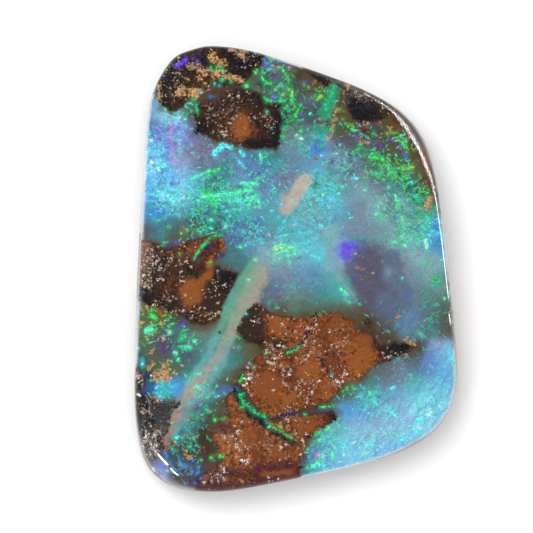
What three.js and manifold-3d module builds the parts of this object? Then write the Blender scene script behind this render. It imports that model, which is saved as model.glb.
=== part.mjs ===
// A polished freeform boulder opal: one stone of brown ironstone with a layer of opal over its face.
// The opal is harder than the ironstone, so the fields of bare ironstone in the face are polished
// a little lower than the opal around them, and they are pitted.
// Millimetres. The stone lies on its flat back at z = 0, its face up, its length along +Y.
import * as THREE from "three";
import { mergeVertices } from "three/addons/utils/BufferGeometryUtils.js";
import Module from "manifold-3d";

const wasm = await Module();
wasm.setup();

// The stone's main sizes
const LENGTH = 30;
const SHOULDER_HEIGHT = 3.9;
const CROWN_RISE = 1.25;
const CROWN_POWER = 2.4;
const SHOULDER_RADIUS = 0.4;
const FACE_EDGE_SLOPE = 76; // degrees round the shoulder at which the face takes over
const GIRDLE_HEIGHT = 1.8;
const BACK_INSET = 1.1;

// The face was ground by hand: it stands higher towards one corner and has faint hollows.
const FACE_TILT = { x: 0.016, y: 0.012 };
const FACE_WAVE = { height: 0.06, perX: 0.42, atX: 0.9, perY: 0.31, atY: -0.5 };

// How far the wall leans in from the girdle to the shoulder: a little all round, and more in places,
// given in degrees round the stone. The lower left corner is ground to a slanting flat.
const LEAN = 0.06;
const LEANS = [
  { at: 48, spread: 12, more: 0.47 },
  { at: -122, spread: 13, more: 0.85 },
  { at: -20, spread: 10, more: 0.2 },
  { at: 178, spread: 26, more: 0.2 },
  { at: -52, spread: 20, more: 0.14 },
];

// How far the ironstone fields lie below the opal, and how far they fade out at the shoulder
const UNDERCUT = 0.12;
const UNDERCUT_FADE = 0.05;
const FIELD_DEPTH = 1.2; // how far a field's cutting prism reaches below the shoulder
const FIELD_REACH = 4;

// How finely the stone is cut into facets
const SIDE_STEPS = 30;
const SHOULDER_STEPS = 4;
const BASE_STEPS = 4;

// The girdle seen from above, anticlockwise. CORNERS are the points where one side gives way to the next.
const GIRDLE = [
  [-10.25, -12.45], [-9.1, -14.05], [-7.35, -14.8], [-4.65, -14.9], [-0.65, -14.2], [4.75, -13],
  [8.05, -11.75], [9.9, -10.2], [10.75, -8.15], [10.8, -5.1], [10.4, -1], [9.8, 3.85], [9.3, 6.8],
  [8.5, 9], [7.05, 10.65], [4.75, 12], [1.4, 13.3], [-2.65, 14.6], [-5.35, 15], [-6.95, 14.75],
  [-8.3, 14.05], [-9.45, 12.15], [-9.9, 10.15], [-10.2, 6], [-10.55, 0.6], [-10.75, -5.45], [-10.75, -9.5],
];
const CORNERS = [1, 7, 13.5, 20.5];

// The fields of bare ironstone in the face. Those at the edge run out past the girdle.
const IRONSTONE_FIELDS = {
  shoulder: [
    [-9.3, 12.3], [-9.2, 11.45], [-8.3, 10.6], [-7.45, 10.9], [-7.25, 11.35], [-6.7, 11.55], [-5.6, 12.25],
    [-3.85, 12.3], [-3.05, 12.85], [-2.5, 13.5], [-2.1, 14.3], [-2.25, 15.2], [-6.75, 15.5], [-10, 13.05],
  ],
  crown: [
    [-6.9, 10.35], [-6.45, 11.25], [-4.95, 11.45], [-4.45, 11.95], [-3.55, 12.1], [-2.65, 11.95],
    [-1.85, 11.05], [-1, 11.05], [-0.85, 10.35], [-1.05, 9.4], [-1.35, 8], [-3.45, 8.2], [-5.35, 8.6],
    [-6.75, 9.15],
  ],
  west: [
    [-11.15, 1.95], [-9.3, 1.75], [-7.7, 1.5], [-7.05, 1.9], [-5.6, 2.15], [-4.95, 2], [-4.75, 1.5],
    [-5.55, 0.4], [-3.85, -0.25], [-4.55, -1.6], [-5.1, -3.25], [-6, -3.7], [-6.75, -3.65], [-7.95, -2.95],
    [-9.7, -2.6], [-11.15, -1.55],
  ],
  heart: [
    [-3.85, -4.3], [-3.25, -2.75], [-2.7, -2.3], [-1.65, -2.95], [0.45, -3.25], [2.85, -3.05], [3.95, -3.45],
    [3.85, -4.05], [5.6, -5.05], [8.05, -5.25], [5.6, -6.25], [4.25, -7.4], [3.35, -7.65], [2.3, -8.8],
    [-1.65, -9.95], [-3.85, -7.65], [-3.05, -6.3], [-2.25, -5.6], [-3.25, -4.85],
  ],
  foot: [
    [-4.65, -8.5], [-4.15, -8.25], [-3.2, -9.7], [-1.3, -11.15], [-0.1, -11.75], [-0.9, -10.95],
    [-1.6, -10.1], [2.45, -9.55], [2.6, -10.2], [1.2, -10.95], [0.45, -12.4], [0.1, -14.5], [-2.4, -15.2],
    [-6.9, -15.4], [-6.75, -14.15], [-4.75, -12.6], [-5.6, -10.95], [-4.6, -9.2],
  ],
  ankle: [
    [-11.25, -6.5], [-10.65, -6.65], [-10.05, -7.85], [-10.55, -8.3], [-7.7, -8.9], [-8.35, -9.4],
    [-8.8, -11.3], [-8.8, -11.95], [-10.1, -13.5], [-11.25, -12.85],
  ],
  brow: [
    [0.3, 14.2], [0.55, 13.5], [2.05, 12.15], [3, 12.25], [3.4, 11.7], [3.35, 11.1], [4.45, 9.7],
    [6.35, 10.1], [7.85, 8.6], [8.9, 5.85], [9.2, 4.65], [10.4, 4.65], [10.4, 8], [8.35, 10.9], [5, 12.9],
  ],
};

// The pits that show best in the face: x, y, radius. The others are scattered.
const NAMED_PITS = [
  [-1.6, 9.4, 0.19], [-5.3, -0.3, 0.22], [-5.2, -2.35, 0.2], [-5.7, -3.1, 0.24], [-9.15, -0.2, 0.2],
  [-7.6, -0.65, 0.2], [4.1, -4.15, 0.17], [-4, -12.15, 0.26], [-3.55, -12.85, 0.2], [-4.95, -14.3, 0.22],
  [1, -8.45, 0.2], [5.9, 11.1, 0.2], [-8.6, 12.1, 0.2], [-9.7, -7.3, 0.22], [-9.9, -11, 0.24], [6.6, -5.5, 0.2],
];
const SCATTERED_PITS = 30;
const SCATTER_SEED = 19;
const SMALLEST_PIT = 0.13;
const LARGEST_PIT = 0.24;
const BETWEEN_PITS = 0.2;
const PIT_DEPTH = 0.6; // of its radius
const PITTED_SHARE = 0.93; // of the way from the middle of the face to its edge

// Pits in the wall: degrees round the stone, height, radius
const WALL_PITS = [
  [28, 2.6, 0.3], [47, 1.9, 0.24], [63, 2.9, 0.28], [98, 1.6, 0.3], [131, 2.2, 0.34], [168, 2.4, 0.3],
  [186, 1.4, 0.26], [214, 2.3, 0.32], [248, 1.7, 0.3], [276, 2.2, 0.26], [318, 1.5, 0.28], [350, 2.5, 0.34],
];
// Pits in the sawn back: x, y, radius
const BACK_PITS = [
  [-6.2, 9.5, 0.45], [-2.2, 11.2, 0.3], [4.6, 7.4, 0.5], [6.9, 1.2, 0.32], [-7.3, -2.4, 0.38],
  [3.3, -5.6, 0.34], [-4.1, -10.4, 0.5], [6.4, -9.1, 0.4],
];

// A repeatable stand-in for chance
function randomFrom(seed) {
  let state = seed;
  return () => {
    state = (state * 1664525 + 1013904223) % 4294967296;
    return state / 4294967296;
  };
}

// The girdle as four sides of evenly spaced points, fitted to LENGTH and centred on the origin
function girdlePoints() {
  const curve = new THREE.CatmullRomCurve3(
    GIRDLE.map(([x, y]) => new THREE.Vector3(x, y, 0)),
    true,
    "catmullrom",
    0.5,
  );
  const points = [];
  CORNERS.forEach((corner, side) => {
    const next = CORNERS[(side + 1) % 4] + (side === 3 ? GIRDLE.length : 0);
    const fine = 40 * SIDE_STEPS;
    const along = [];
    for (let i = 0; i <= fine; i++) {
      along.push(curve.getPoint(((corner + ((next - corner) * i) / fine) / GIRDLE.length) % 1));
    }
    const travelled = [0];
    for (let i = 1; i <= fine; i++) {
      travelled.push(travelled[i - 1] + along[i].distanceTo(along[i - 1]));
    }
    let at = 0;
    for (let step = 0; step < SIDE_STEPS; step++) {
      const wanted = (travelled[fine] * step) / SIDE_STEPS;
      while (travelled[at + 1] < wanted) at++;
      const part = (wanted - travelled[at]) / (travelled[at + 1] - travelled[at]);
      points.push(along[at].clone().lerp(along[at + 1], part));
    }
  });
  const box = new THREE.Box3().setFromPoints(points);
  const centre = box.getCenter(new THREE.Vector3());
  const scale = LENGTH / (box.max.y - box.min.y);
  return points.map((p) => p.sub(centre).multiplyScalar(scale));
}

const girdle = girdlePoints();
const ROUND = girdle.length;

// The unit normal into the stone at each girdle point
const inward = girdle.map((_, i) => {
  const along = girdle[(i + 1) % ROUND].clone().sub(girdle[(i + ROUND - 1) % ROUND]);
  return new THREE.Vector3(-along.y, along.x, 0).normalize();
});

function leanAt(point) {
  const degrees = THREE.MathUtils.radToDeg(Math.atan2(point.y, point.x));
  return LEANS.reduce((lean, place) => {
    const away = THREE.MathUtils.euclideanModulo(degrees - place.at + 180, 360) - 180;
    return lean + place.more * Math.exp(-((away / place.spread) ** 2));
  }, LEAN);
}

// The stone's section at one girdle point, from the edge of the face down to the edge of the back.
// Each station has an inset from the girdle and a height.
function section(point) {
  const lean = leanAt(point);
  const shoulder = SHOULDER_HEIGHT + FACE_TILT.x * point.x + FACE_TILT.y * point.y;
  const faceSide = THREE.MathUtils.degToRad(FACE_EDGE_SLOPE);
  const wallTop = Math.atan2(lean, shoulder - GIRDLE_HEIGHT);
  const stations = [];
  for (let i = 0; i <= SHOULDER_STEPS; i++) {
    const angle = THREE.MathUtils.lerp(faceSide, wallTop, i / SHOULDER_STEPS);
    stations.push({
      inset: lean + SHOULDER_RADIUS * (1 - Math.cos(angle)),
      height: shoulder - SHOULDER_RADIUS * (1 - Math.sin(angle)),
    });
  }
  for (let i = 0; i <= BASE_STEPS; i++) {
    const angle = (Math.PI / 2) * (i / BASE_STEPS);
    stations.push({
      inset: BACK_INSET * (1 - Math.cos(angle)),
      height: GIRDLE_HEIGHT * (1 - Math.sin(angle)),
    });
  }
  return stations;
}

const sections = girdle.map(section);
const faceEdge = girdle.map((p, i) => p.clone().addScaledVector(inward[i], sections[i][0].inset));
const faceEdgeAngles = faceEdge.map((p) => Math.atan2(p.y, p.x));

// How far (x, y) is from the middle of the face, as a share of the way to its edge
function shareOut(x, y) {
  const angle = Math.atan2(y, x);
  for (let i = 0; i < ROUND; i++) {
    const from = faceEdgeAngles[i];
    const step = THREE.MathUtils.euclideanModulo(faceEdgeAngles[(i + 1) % ROUND] - from, 2 * Math.PI);
    const past = THREE.MathUtils.euclideanModulo(angle - from, 2 * Math.PI);
    if (past < step) {
      const a = faceEdge[i];
      const b = faceEdge[(i + 1) % ROUND];
      const reach = (a.x * b.y - a.y * b.x) / (Math.cos(angle) * (b.y - a.y) - Math.sin(angle) * (b.x - a.x));
      return Math.min(1, Math.hypot(x, y) / reach);
    }
  }
  return 0;
}

function faceWave(x, y) {
  const { height, perX, atX, perY, atY } = FACE_WAVE;
  return height * Math.sin(perX * x + atX) * Math.cos(perY * y + atY);
}

function faceHeight(x, y) {
  const out = shareOut(x, y);
  const edge = sections[0][0].height + FACE_TILT.x * (x - girdle[0].x) + FACE_TILT.y * (y - girdle[0].y);
  return edge + CROWN_RISE * (1 - out ** CROWN_POWER) + faceWave(x, y) * (1 - out * out);
}

// A point of the face between its four sides, from across and up, both 0 to 1
function facePoint(across, up) {
  const along = (side, share) => faceEdge[Math.round((side + share) * SIDE_STEPS) % ROUND];
  const mix = (a, b, t) => a.clone().lerp(b, t);
  const upAndDown = mix(along(0, across), along(2, 1 - across), up);
  const leftToRight = mix(along(3, 1 - up), along(1, up), across);
  const corners = mix(mix(along(0, 0), along(1, 0), across), mix(along(3, 0), along(2, 0), across), up);
  return upAndDown.add(leftToRight).sub(corners);
}

// The whole stone as a solid. `lowered` drops the face, and `spread` widens the wall to match.
function stoneSolid({ lowered = 0, spread = 0 } = {}) {
  const positions = [];
  const triangles = [];
  const add = (x, y, z) => positions.push(x, y, z) / 3 - 1;
  const quad = (a, b, c, d) => triangles.push(a, b, c, a, c, d);

  const rings = sections[0].map((_, station) =>
    girdle.map((p, i) => {
      const { inset, height } = sections[i][station];
      const top = station <= SHOULDER_STEPS;
      return add(
        p.x + inward[i].x * (inset - spread),
        p.y + inward[i].y * (inset - spread),
        height - (top ? lowered : 0),
      );
    }),
  );
  for (let ring = 0; ring + 1 < rings.length; ring++) {
    for (let i = 0; i < ROUND; i++) {
      const next = (i + 1) % ROUND;
      quad(rings[ring][i], rings[ring + 1][i], rings[ring + 1][next], rings[ring][next]);
    }
  }

  const back = add(0, 0, 0);
  const last = rings[rings.length - 1];
  for (let i = 0; i < ROUND; i++) triangles.push(last[(i + 1) % ROUND], last[i], back);

  const edgeVertex = (col, row) => {
    if (row === 0) return rings[0][col];
    if (col === SIDE_STEPS) return rings[0][SIDE_STEPS + row];
    if (row === SIDE_STEPS) return rings[0][3 * SIDE_STEPS - col];
    return col === 0 ? rings[0][(4 * SIDE_STEPS - row) % ROUND] : null;
  };
  const face = [];
  for (let row = 0; row <= SIDE_STEPS; row++) {
    face.push([]);
    for (let col = 0; col <= SIDE_STEPS; col++) {
      const onEdge = edgeVertex(col, row);
      if (onEdge !== null) {
        face[row].push(onEdge);
        continue;
      }
      const p = facePoint(col / SIDE_STEPS, row / SIDE_STEPS);
      face[row].push(add(p.x, p.y, faceHeight(p.x, p.y) - lowered));
    }
  }
  for (let row = 0; row < SIDE_STEPS; row++) {
    for (let col = 0; col < SIDE_STEPS; col++) {
      quad(face[row][col], face[row][col + 1], face[row + 1][col + 1], face[row + 1][col]);
    }
  }
  return solid(positions, triangles);
}

function solid(positions, triangles) {
  return new wasm.Manifold(
    new wasm.Mesh({
      numProp: 3,
      vertProperties: new Float32Array(positions),
      triVerts: new Uint32Array(triangles),
    }),
  );
}

function solidOf(geometry) {
  geometry.deleteAttribute("normal");
  geometry.deleteAttribute("uv");
  const merged = mergeVertices(geometry, 1e-4);
  return solid(merged.attributes.position.array, merged.index.array);
}

// An upright prism over one ironstone field, from inside the stone to above its face
function fieldPrism(outline) {
  const shape = new THREE.Shape(outline.map(([x, y]) => new THREE.Vector2(x, y)));
  const prism = new THREE.ExtrudeGeometry(shape, { depth: FIELD_REACH, bevelEnabled: false });
  return solidOf(prism.translate(0, 0, SHOULDER_HEIGHT - FIELD_DEPTH));
}

function pit(x, y, z, radius) {
  return solidOf(new THREE.IcosahedronGeometry(radius, 0).rotateZ(x * 3 + y).translate(x, y, z));
}

function insideField(x, y, outline) {
  let inside = false;
  outline.forEach(([ax, ay], i) => {
    const [bx, by] = outline[(i + 1) % outline.length];
    if (ay > y !== by > y && x < ax + ((bx - ax) * (y - ay)) / (by - ay)) inside = !inside;
  });
  return inside;
}

// The pits in the face: the named ones and those scattered over the ironstone
function facePits() {
  const random = randomFrom(SCATTER_SEED);
  const places = [...NAMED_PITS];
  const fields = Object.values(IRONSTONE_FIELDS);
  while (places.length < NAMED_PITS.length + SCATTERED_PITS) {
    const x = LENGTH * (random() - 0.5);
    const y = LENGTH * (random() - 0.5);
    const radius = THREE.MathUtils.lerp(SMALLEST_PIT, LARGEST_PIT, random());
    const clear = places.every(([px, py, pr]) => Math.hypot(px - x, py - y) > pr + radius + BETWEEN_PITS);
    const onFace = shareOut(x, y) < PITTED_SHARE;
    if (clear && onFace && fields.some((f) => insideField(x, y, f))) {
      places.push([x, y, radius]);
    }
  }
  return places.map(([x, y, radius]) => pit(x, y, faceHeight(x, y) - UNDERCUT + radius * (1 - PIT_DEPTH), radius));
}

function wallPits() {
  return WALL_PITS.map(([degrees, height, radius]) => {
    const angle = THREE.MathUtils.degToRad(degrees);
    const away = (i) => Math.abs(Math.sin((Math.atan2(girdle[i].y, girdle[i].x) - angle) / 2));
    const nearest = girdle.reduce((best, _, i) => (away(i) < away(best) ? i : best), 0);
    const stations = sections[nearest];
    const above = stations.findLastIndex((s) => s.height >= height);
    const a = stations[above];
    const b = stations[above + 1];
    const inset = THREE.MathUtils.mapLinear(height, a.height, b.height, a.inset, b.inset);
    const middle = girdle[nearest].clone().addScaledVector(inward[nearest], inset - radius * (1 - PIT_DEPTH));
    return pit(middle.x, middle.y, height, radius);
  });
}

const backPits = BACK_PITS.map(([x, y, radius]) => pit(x, y, -radius * (1 - PIT_DEPTH), radius));

let stone = stoneSolid();
const undercutStone = stoneSolid({ lowered: UNDERCUT, spread: UNDERCUT_FADE });
for (const outline of Object.values(IRONSTONE_FIELDS)) {
  stone = stone.subtract(fieldPrism(outline).subtract(undercutStone));
}
for (const hollow of [...facePits(), ...wallPits(), ...backPits]) stone = stone.subtract(hollow);

const cut = stone.getMesh();
const geometry = new THREE.BufferGeometry();
geometry.setAttribute("position", new THREE.BufferAttribute(new Float32Array(cut.vertProperties), 3));
geometry.setIndex(new THREE.BufferAttribute(new Uint32Array(cut.triVerts), 1));
geometry.computeVertexNormals();

const polishedOpal = new THREE.MeshStandardMaterial({ color: 0x4f9aa0, roughness: 0.12, metalness: 0 });
const opal = new THREE.Mesh(geometry, polishedOpal);
opal.name = "boulder_opal";

const part = new THREE.Group();
part.add(opal);

export default part;
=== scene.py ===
"""A polished freeform boulder opal, lying face up on a plain pale floor and seen from straight above.

The stone is a square grid laid over its face, extruded down its wall and closed across its back.
Its colours are painted as washes and marks, in millimetres from the middle of the stone,
and its material adds ragged edges, fibres, grain, specks and shards of fire.
"""

import math

import bmesh
import bpy
import numpy as np
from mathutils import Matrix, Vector, noise


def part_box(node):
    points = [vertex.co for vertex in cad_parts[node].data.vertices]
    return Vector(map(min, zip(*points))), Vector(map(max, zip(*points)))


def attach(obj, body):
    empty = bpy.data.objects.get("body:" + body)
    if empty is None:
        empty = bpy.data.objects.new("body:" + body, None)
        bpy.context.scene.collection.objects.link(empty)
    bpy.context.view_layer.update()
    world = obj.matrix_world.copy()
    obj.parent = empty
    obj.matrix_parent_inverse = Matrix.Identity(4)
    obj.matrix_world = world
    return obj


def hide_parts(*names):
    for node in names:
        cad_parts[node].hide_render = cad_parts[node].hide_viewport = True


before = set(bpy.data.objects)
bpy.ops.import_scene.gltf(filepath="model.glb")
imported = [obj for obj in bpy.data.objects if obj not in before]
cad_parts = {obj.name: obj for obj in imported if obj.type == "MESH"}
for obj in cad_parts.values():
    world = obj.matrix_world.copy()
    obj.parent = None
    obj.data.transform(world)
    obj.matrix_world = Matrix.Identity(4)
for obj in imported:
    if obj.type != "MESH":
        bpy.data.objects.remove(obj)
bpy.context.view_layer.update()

# The stone's main sizes, in millimetres of a stone 30 mm long. MM is one of them in the frame's metres.
LENGTH = 30
STONE = "boulder_opal"
LOW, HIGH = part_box(STONE)
MM = (HIGH.y - LOW.y) / LENGTH

SHOULDER_HEIGHT = 3.9
CROWN_RISE = 1.25
CROWN_POWER = 2.4
SHOULDER_RADIUS = 0.4
FACE_EDGE_SLOPE = 76
GIRDLE_HEIGHT = 1.8
BACK_INSET = 1.1
FACE_TILT = (0.016, 0.012)
FACE_WAVE = {"height": 0.06, "per_x": 0.42, "at_x": 0.9, "per_y": 0.31, "at_y": -0.5}

# How far the wall leans in from the girdle to the shoulder, and how round the shoulder is: a little all
# round, and more in places. Each place has its direction and spread in degrees, more lean and more rounding.
LEAN = 0.06
SOFTER_EDGES = [
    (46, 12, 0.05, 0.7), (-125, 9, 0.1, 0.95), (-15.5, 2.5, 0, 0.12), (-27, 7, 0.06, 0.1),
    (178, 26, 0.12, 0.1), (-52, 20, 0.1, 0.1),
]

# How finely the stone is cut: the face's columns and rows, and the steps down the wall and over the back
COLUMNS = 220
ROWS = 290
SHOULDER_STEPS = 6
WALL_STEPS = 5
BASE_STEPS = 6
BACK_RINGS = (0.97, 0.8, 0.5)

# The girdle seen from above, anticlockwise. CORNERS are the points where one side gives way to the next.
GIRDLE = [
    (-10.25, -12.45), (-9.1, -14.05), (-7.35, -14.8), (-4.65, -14.9), (-0.65, -14.2), (4.75, -13),
    (8.05, -11.75), (9.9, -10.2), (10.75, -8.15), (10.8, -5.1), (10.4, -1), (9.8, 3.85), (9.3, 6.8),
    (8.5, 9), (7.05, 10.65), (4.75, 12), (1.4, 13.3), (-2.65, 14.6), (-5.35, 15), (-6.95, 14.75),
    (-8.3, 14.05), (-9.45, 12.15), (-9.9, 10.15), (-10.2, 6), (-10.55, 0.6), (-10.75, -5.45), (-10.75, -9.5),
]
CORNERS = (1, 7, 13.5, 20.5)

# The fields of bare ironstone in the face. Those at the edge run out past the girdle.
IRONSTONE_FIELDS = {
    "shoulder": [
        (-9.3, 12.3), (-9.2, 11.45), (-8.9, 10.9), (-8.3, 10.6), (-7.9, 10.75), (-7.45, 10.9), (-7.25, 11.35),
        (-6.7, 11.55), (-6.1, 12), (-5.6, 12.25), (-4.65, 12.3), (-3.85, 12.3), (-3.4, 12.6), (-3.05, 12.85),
        (-2.85, 13.2), (-2.5, 13.5), (-2.25, 13.9), (-2.1, 14.3), (-2.25, 15.5), (-6.75, 15.9), (-10.5, 14.5),
    ],
    "crown": [
        (-6.9, 10.35), (-6.45, 11.25), (-5.6, 11.3), (-4.95, 11.45), (-4.45, 11.95), (-3.55, 12.15),
        (-2.65, 11.95), (-2.1, 11.55), (-1.85, 11.05), (-1, 11.05), (-0.85, 10.35), (-1.05, 9.4), (-1, 8.75),
        (-1.35, 8), (-2.45, 8.05), (-3.45, 8.2), (-4.2, 8.35), (-4.8, 8.45), (-5.35, 8.6), (-6, 8.95),
        (-6.75, 9.15), (-6.7, 9.7),
    ],
    "west": [
        (-12, 1.95), (-10.35, 1.9), (-9.3, 1.75), (-8.6, 1.55), (-7.7, 1.5), (-7.05, 1.9), (-6.2, 2.1),
        (-5.6, 2.15), (-4.95, 2), (-4.75, 1.5), (-5.1, 0.85), (-5.55, 0.4), (-4.95, 0.05), (-3.85, -0.25),
        (-4.15, -0.95), (-4.55, -1.6), (-4.8, -2.15), (-4.95, -2.7), (-5.1, -3.25), (-5.55, -3.5), (-6, -3.7),
        (-6.75, -3.65), (-7.25, -3.3), (-7.95, -2.95), (-8.9, -2.7), (-9.7, -2.6), (-10.4, -2), (-12, -1.55),
    ],
    "heart": [
        (-3.85, -4.3), (-3.65, -3.55), (-3.25, -2.75), (-2.7, -2.3), (-2.2, -2.5), (-1.65, -2.95),
        (-1.05, -3.25), (-0.35, -3.25), (0.45, -3.25), (1.5, -3.05), (2.85, -3.05), (3.95, -3.45),
        (3.85, -4.05), (4.55, -4.1), (5.1, -4.45), (5.6, -5.05), (6.2, -5), (6.9, -4.9), (7.65, -5.05),
        (8.05, -5.25), (7.55, -5.5), (6.85, -5.8), (6.15, -6.05), (5.6, -6.25), (5, -6.75), (4.25, -7.4),
        (3.35, -7.65), (2.7, -8.25), (2.3, -8.8), (1.25, -9.2), (0.3, -9.5), (-0.7, -9.75), (-1.65, -9.95),
        (-2.25, -9.6), (-2.95, -8.8), (-3.35, -8.15), (-3.85, -7.65), (-3.55, -7.05), (-3.05, -6.3),
        (-2.25, -5.6), (-2.5, -5.1), (-3.25, -4.85),
    ],
    "foot": [
        (-4.65, -8.5), (-4.15, -8.25), (-3.75, -8.95), (-3.2, -9.7), (-2.25, -10.55), (-1.3, -11.15),
        (-0.3, -11.65), (0.35, -11.75), (-0.35, -11.5), (-1.3, -10.85), (-2, -10.2), (-1.6, -10.1),
        (-0.5, -9.9), (0.45, -9.8), (1.5, -9.65), (2.45, -9.55), (2.7, -9.8), (2.6, -10.2), (1.8, -10.65),
        (1.2, -10.95), (0.7, -11.55), (0.45, -12.4), (0.3, -13.2), (0.1, -15.2), (-2.4, -16), (-5.4, -16.2),
        (-6.7, -16), (-6.75, -14.15), (-6, -13.6), (-4.95, -12.95), (-4.75, -12.6), (-5.3, -12.3),
        (-5.4, -11.7), (-5.6, -10.95), (-5.35, -10.5), (-4.75, -10), (-4.6, -9.2),
    ],
    "ankle": [
        (-12, -6.5), (-10.65, -6.65), (-10.2, -7.05), (-10.05, -7.85), (-10.4, -8.2), (-10.65, -8.25),
        (-9.8, -8.55), (-8.8, -8.8), (-7.7, -8.9), (-7.9, -9.2), (-8.35, -9.4), (-8.5, -10.15),
        (-8.6, -10.85), (-8.8, -11.3), (-8.8, -11.95), (-9.1, -12.4), (-9.65, -12.9), (-10.3, -13.7),
        (-12, -13),
    ],
    "brow": [
        (0.3, 14.8), (0.4, 13.5), (1.2, 12.85), (2.05, 12.15), (2.45, 12.45), (3, 12.25), (3.4, 11.7),
        (3.35, 11.1), (3.6, 10.55), (4, 9.95), (4.45, 9.7), (5.15, 9.9), (5.75, 10.1), (6.35, 10.1),
        (7.05, 9.6), (7.85, 8.6), (8.5, 7.35), (8.9, 5.85), (9.1, 4.85), (11, 4.65), (11, 8), (9, 11.5),
        (5, 13.5), (2.3, 14.6),
    ],
}

# Pits in the face that show by themselves, and how many more are scattered over the ironstone: x, y, radius
NAMED_PITS = [
    (-1.6, 9.4, 0.19), (-5.3, -0.3, 0.22), (-5.2, -2.35, 0.2), (-5.7, -3.1, 0.24), (-9.15, -0.2, 0.2),
    (-7.6, -0.65, 0.2), (4.1, -4.15, 0.17), (-4, -12.15, 0.26), (-3.55, -12.85, 0.2),
    (-4.95, -14.3, 0.22), (1, -8.45, 0.2), (5.9, 11.1, 0.2), (-8.6, 12.1, 0.2), (-9.7, -7.3, 0.22),
    (-9.9, -11, 0.24), (6.6, -5.5, 0.2),
]
SCATTERED_PITS = 30
SCATTERED_RADII = (0.12, 0.22)
PITS_INSIDE = 0.3  # how far inside the ironstone the scattered pits lie
# Pits in the wall: degrees round the stone, height, radius
WALL_PITS = [
    (28, 2.6, 0.3), (47, 1.9, 0.24), (63, 2.9, 0.28), (98, 1.6, 0.3), (131, 2.2, 0.34), (168, 2.4, 0.3),
    (186, 1.4, 0.26), (214, 2.3, 0.32), (248, 1.7, 0.3), (276, 2.2, 0.26), (318, 1.5, 0.28), (350, 2.5, 0.34),
]
PIT_DEPTH = 0.35  # as a share of the pit's radius

# How far the softer ironstone is ground below the opal, over what depths inside its edge the step runs, and
# over which shares of the way out from the middle the step and the pits end
UNDERCUT = 0.03
UNDERCUT_EDGE = (-0.25, 0.15)
WEAR_ENDS = (0.93, 1)

# The noise that shifts what is painted: waves to the millimetre, how far they shift it, level in the noise
WANDERING = [(1.1, 0.12, 3.7), (3.3, 0.05, 9.1)]
SEED = 7

# How brightly the lamps light a level surface. The painted colours are divided by it.
LIGHT_ON_FACE = 1.38
# The direction in which the surroundings are dark, and darken the edge that mirrors them
DARK_SIDE = math.radians(74)

# The colours, as they look in daylight
COLOURS = {
    # the opal's body
    "sky": (88, 178, 236), "deep_sky": (70, 145, 214), "ice_blue": (132, 222, 244),
    "glow": (96, 208, 224), "frost": (152, 222, 248), "pale_sky": (130, 198, 234),
    # the near-white one for the rounded edge is no colour of the opal but painted light
    "painted_edge_light": (236, 242, 255), "sea": (88, 176, 180), "lagoon": (64, 146, 150), "teal": (72, 122, 126),
    "deep_teal": (42, 84, 92), "steel": (102, 148, 184), "denim": (82, 116, 172), "milk": (128, 180, 186),
    "mist": (124, 146, 166), "haze": (142, 190, 196), "milk_blue": (146, 192, 230),
    "haze_violet": (124, 142, 212), "lilac_grey": (154, 164, 208), "mauve": (120, 126, 150),
    "smoke": (94, 92, 110), "slate": (96, 114, 136), "purple_grey": (112, 104, 140), "dusk": (78, 64, 98),
    "moss": (88, 106, 76), "leaf": (76, 138, 104), "olive": (98, 80, 44), "khaki_teal": (112, 142, 128),
    "bark": (88, 70, 46), "forest": (60, 84, 60), "shadow": (70, 54, 40), "seafoam": (100, 174, 146),
    "vein_khaki": (150, 172, 142), "shell": (200, 186, 170), "vein_pink": (174, 162, 152),
    "blush": (206, 166, 162), "vein_salmon": (190, 126, 108),
    # its fire
    "emerald": (40, 188, 112), "green": (52, 214, 94), "lime": (126, 228, 68),
    "yellow_green": (168, 222, 112), "mint": (84, 234, 178), "pale_mint": (156, 246, 216),
    "cyan": (88, 224, 234), "ice": (186, 246, 246), "turquoise": (60, 190, 176), "jade": (38, 156, 122),
    "azure": (60, 124, 226), "navy": (34, 42, 92), "ink": (24, 34, 48), "violet": (108, 66, 226),
    "periwinkle": (132, 142, 250), "lilac": (172, 152, 226), "purple": (94, 60, 134),
    "pink": (214, 150, 190), "rose": (200, 112, 124), "salmon": (178, 126, 112), "orange": (184, 112, 62),
    # the ironstone
    "white": (236, 230, 224), "cream": (212, 196, 164), "tan": (196, 150, 98), "sand": (180, 146, 112),
    "amber": (156, 90, 42), "honey": (112, 72, 36), "sienna": (144, 82, 42), "rust": (122, 64, 32),
    "maroon": (88, 44, 46), "brown": (86, 54, 36), "umber": (58, 42, 34), "black": (31, 28, 31),
    "charcoal": (88, 80, 82), "brick": (134, 78, 66), "pale_brown": (146, 110, 88),
}

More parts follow.
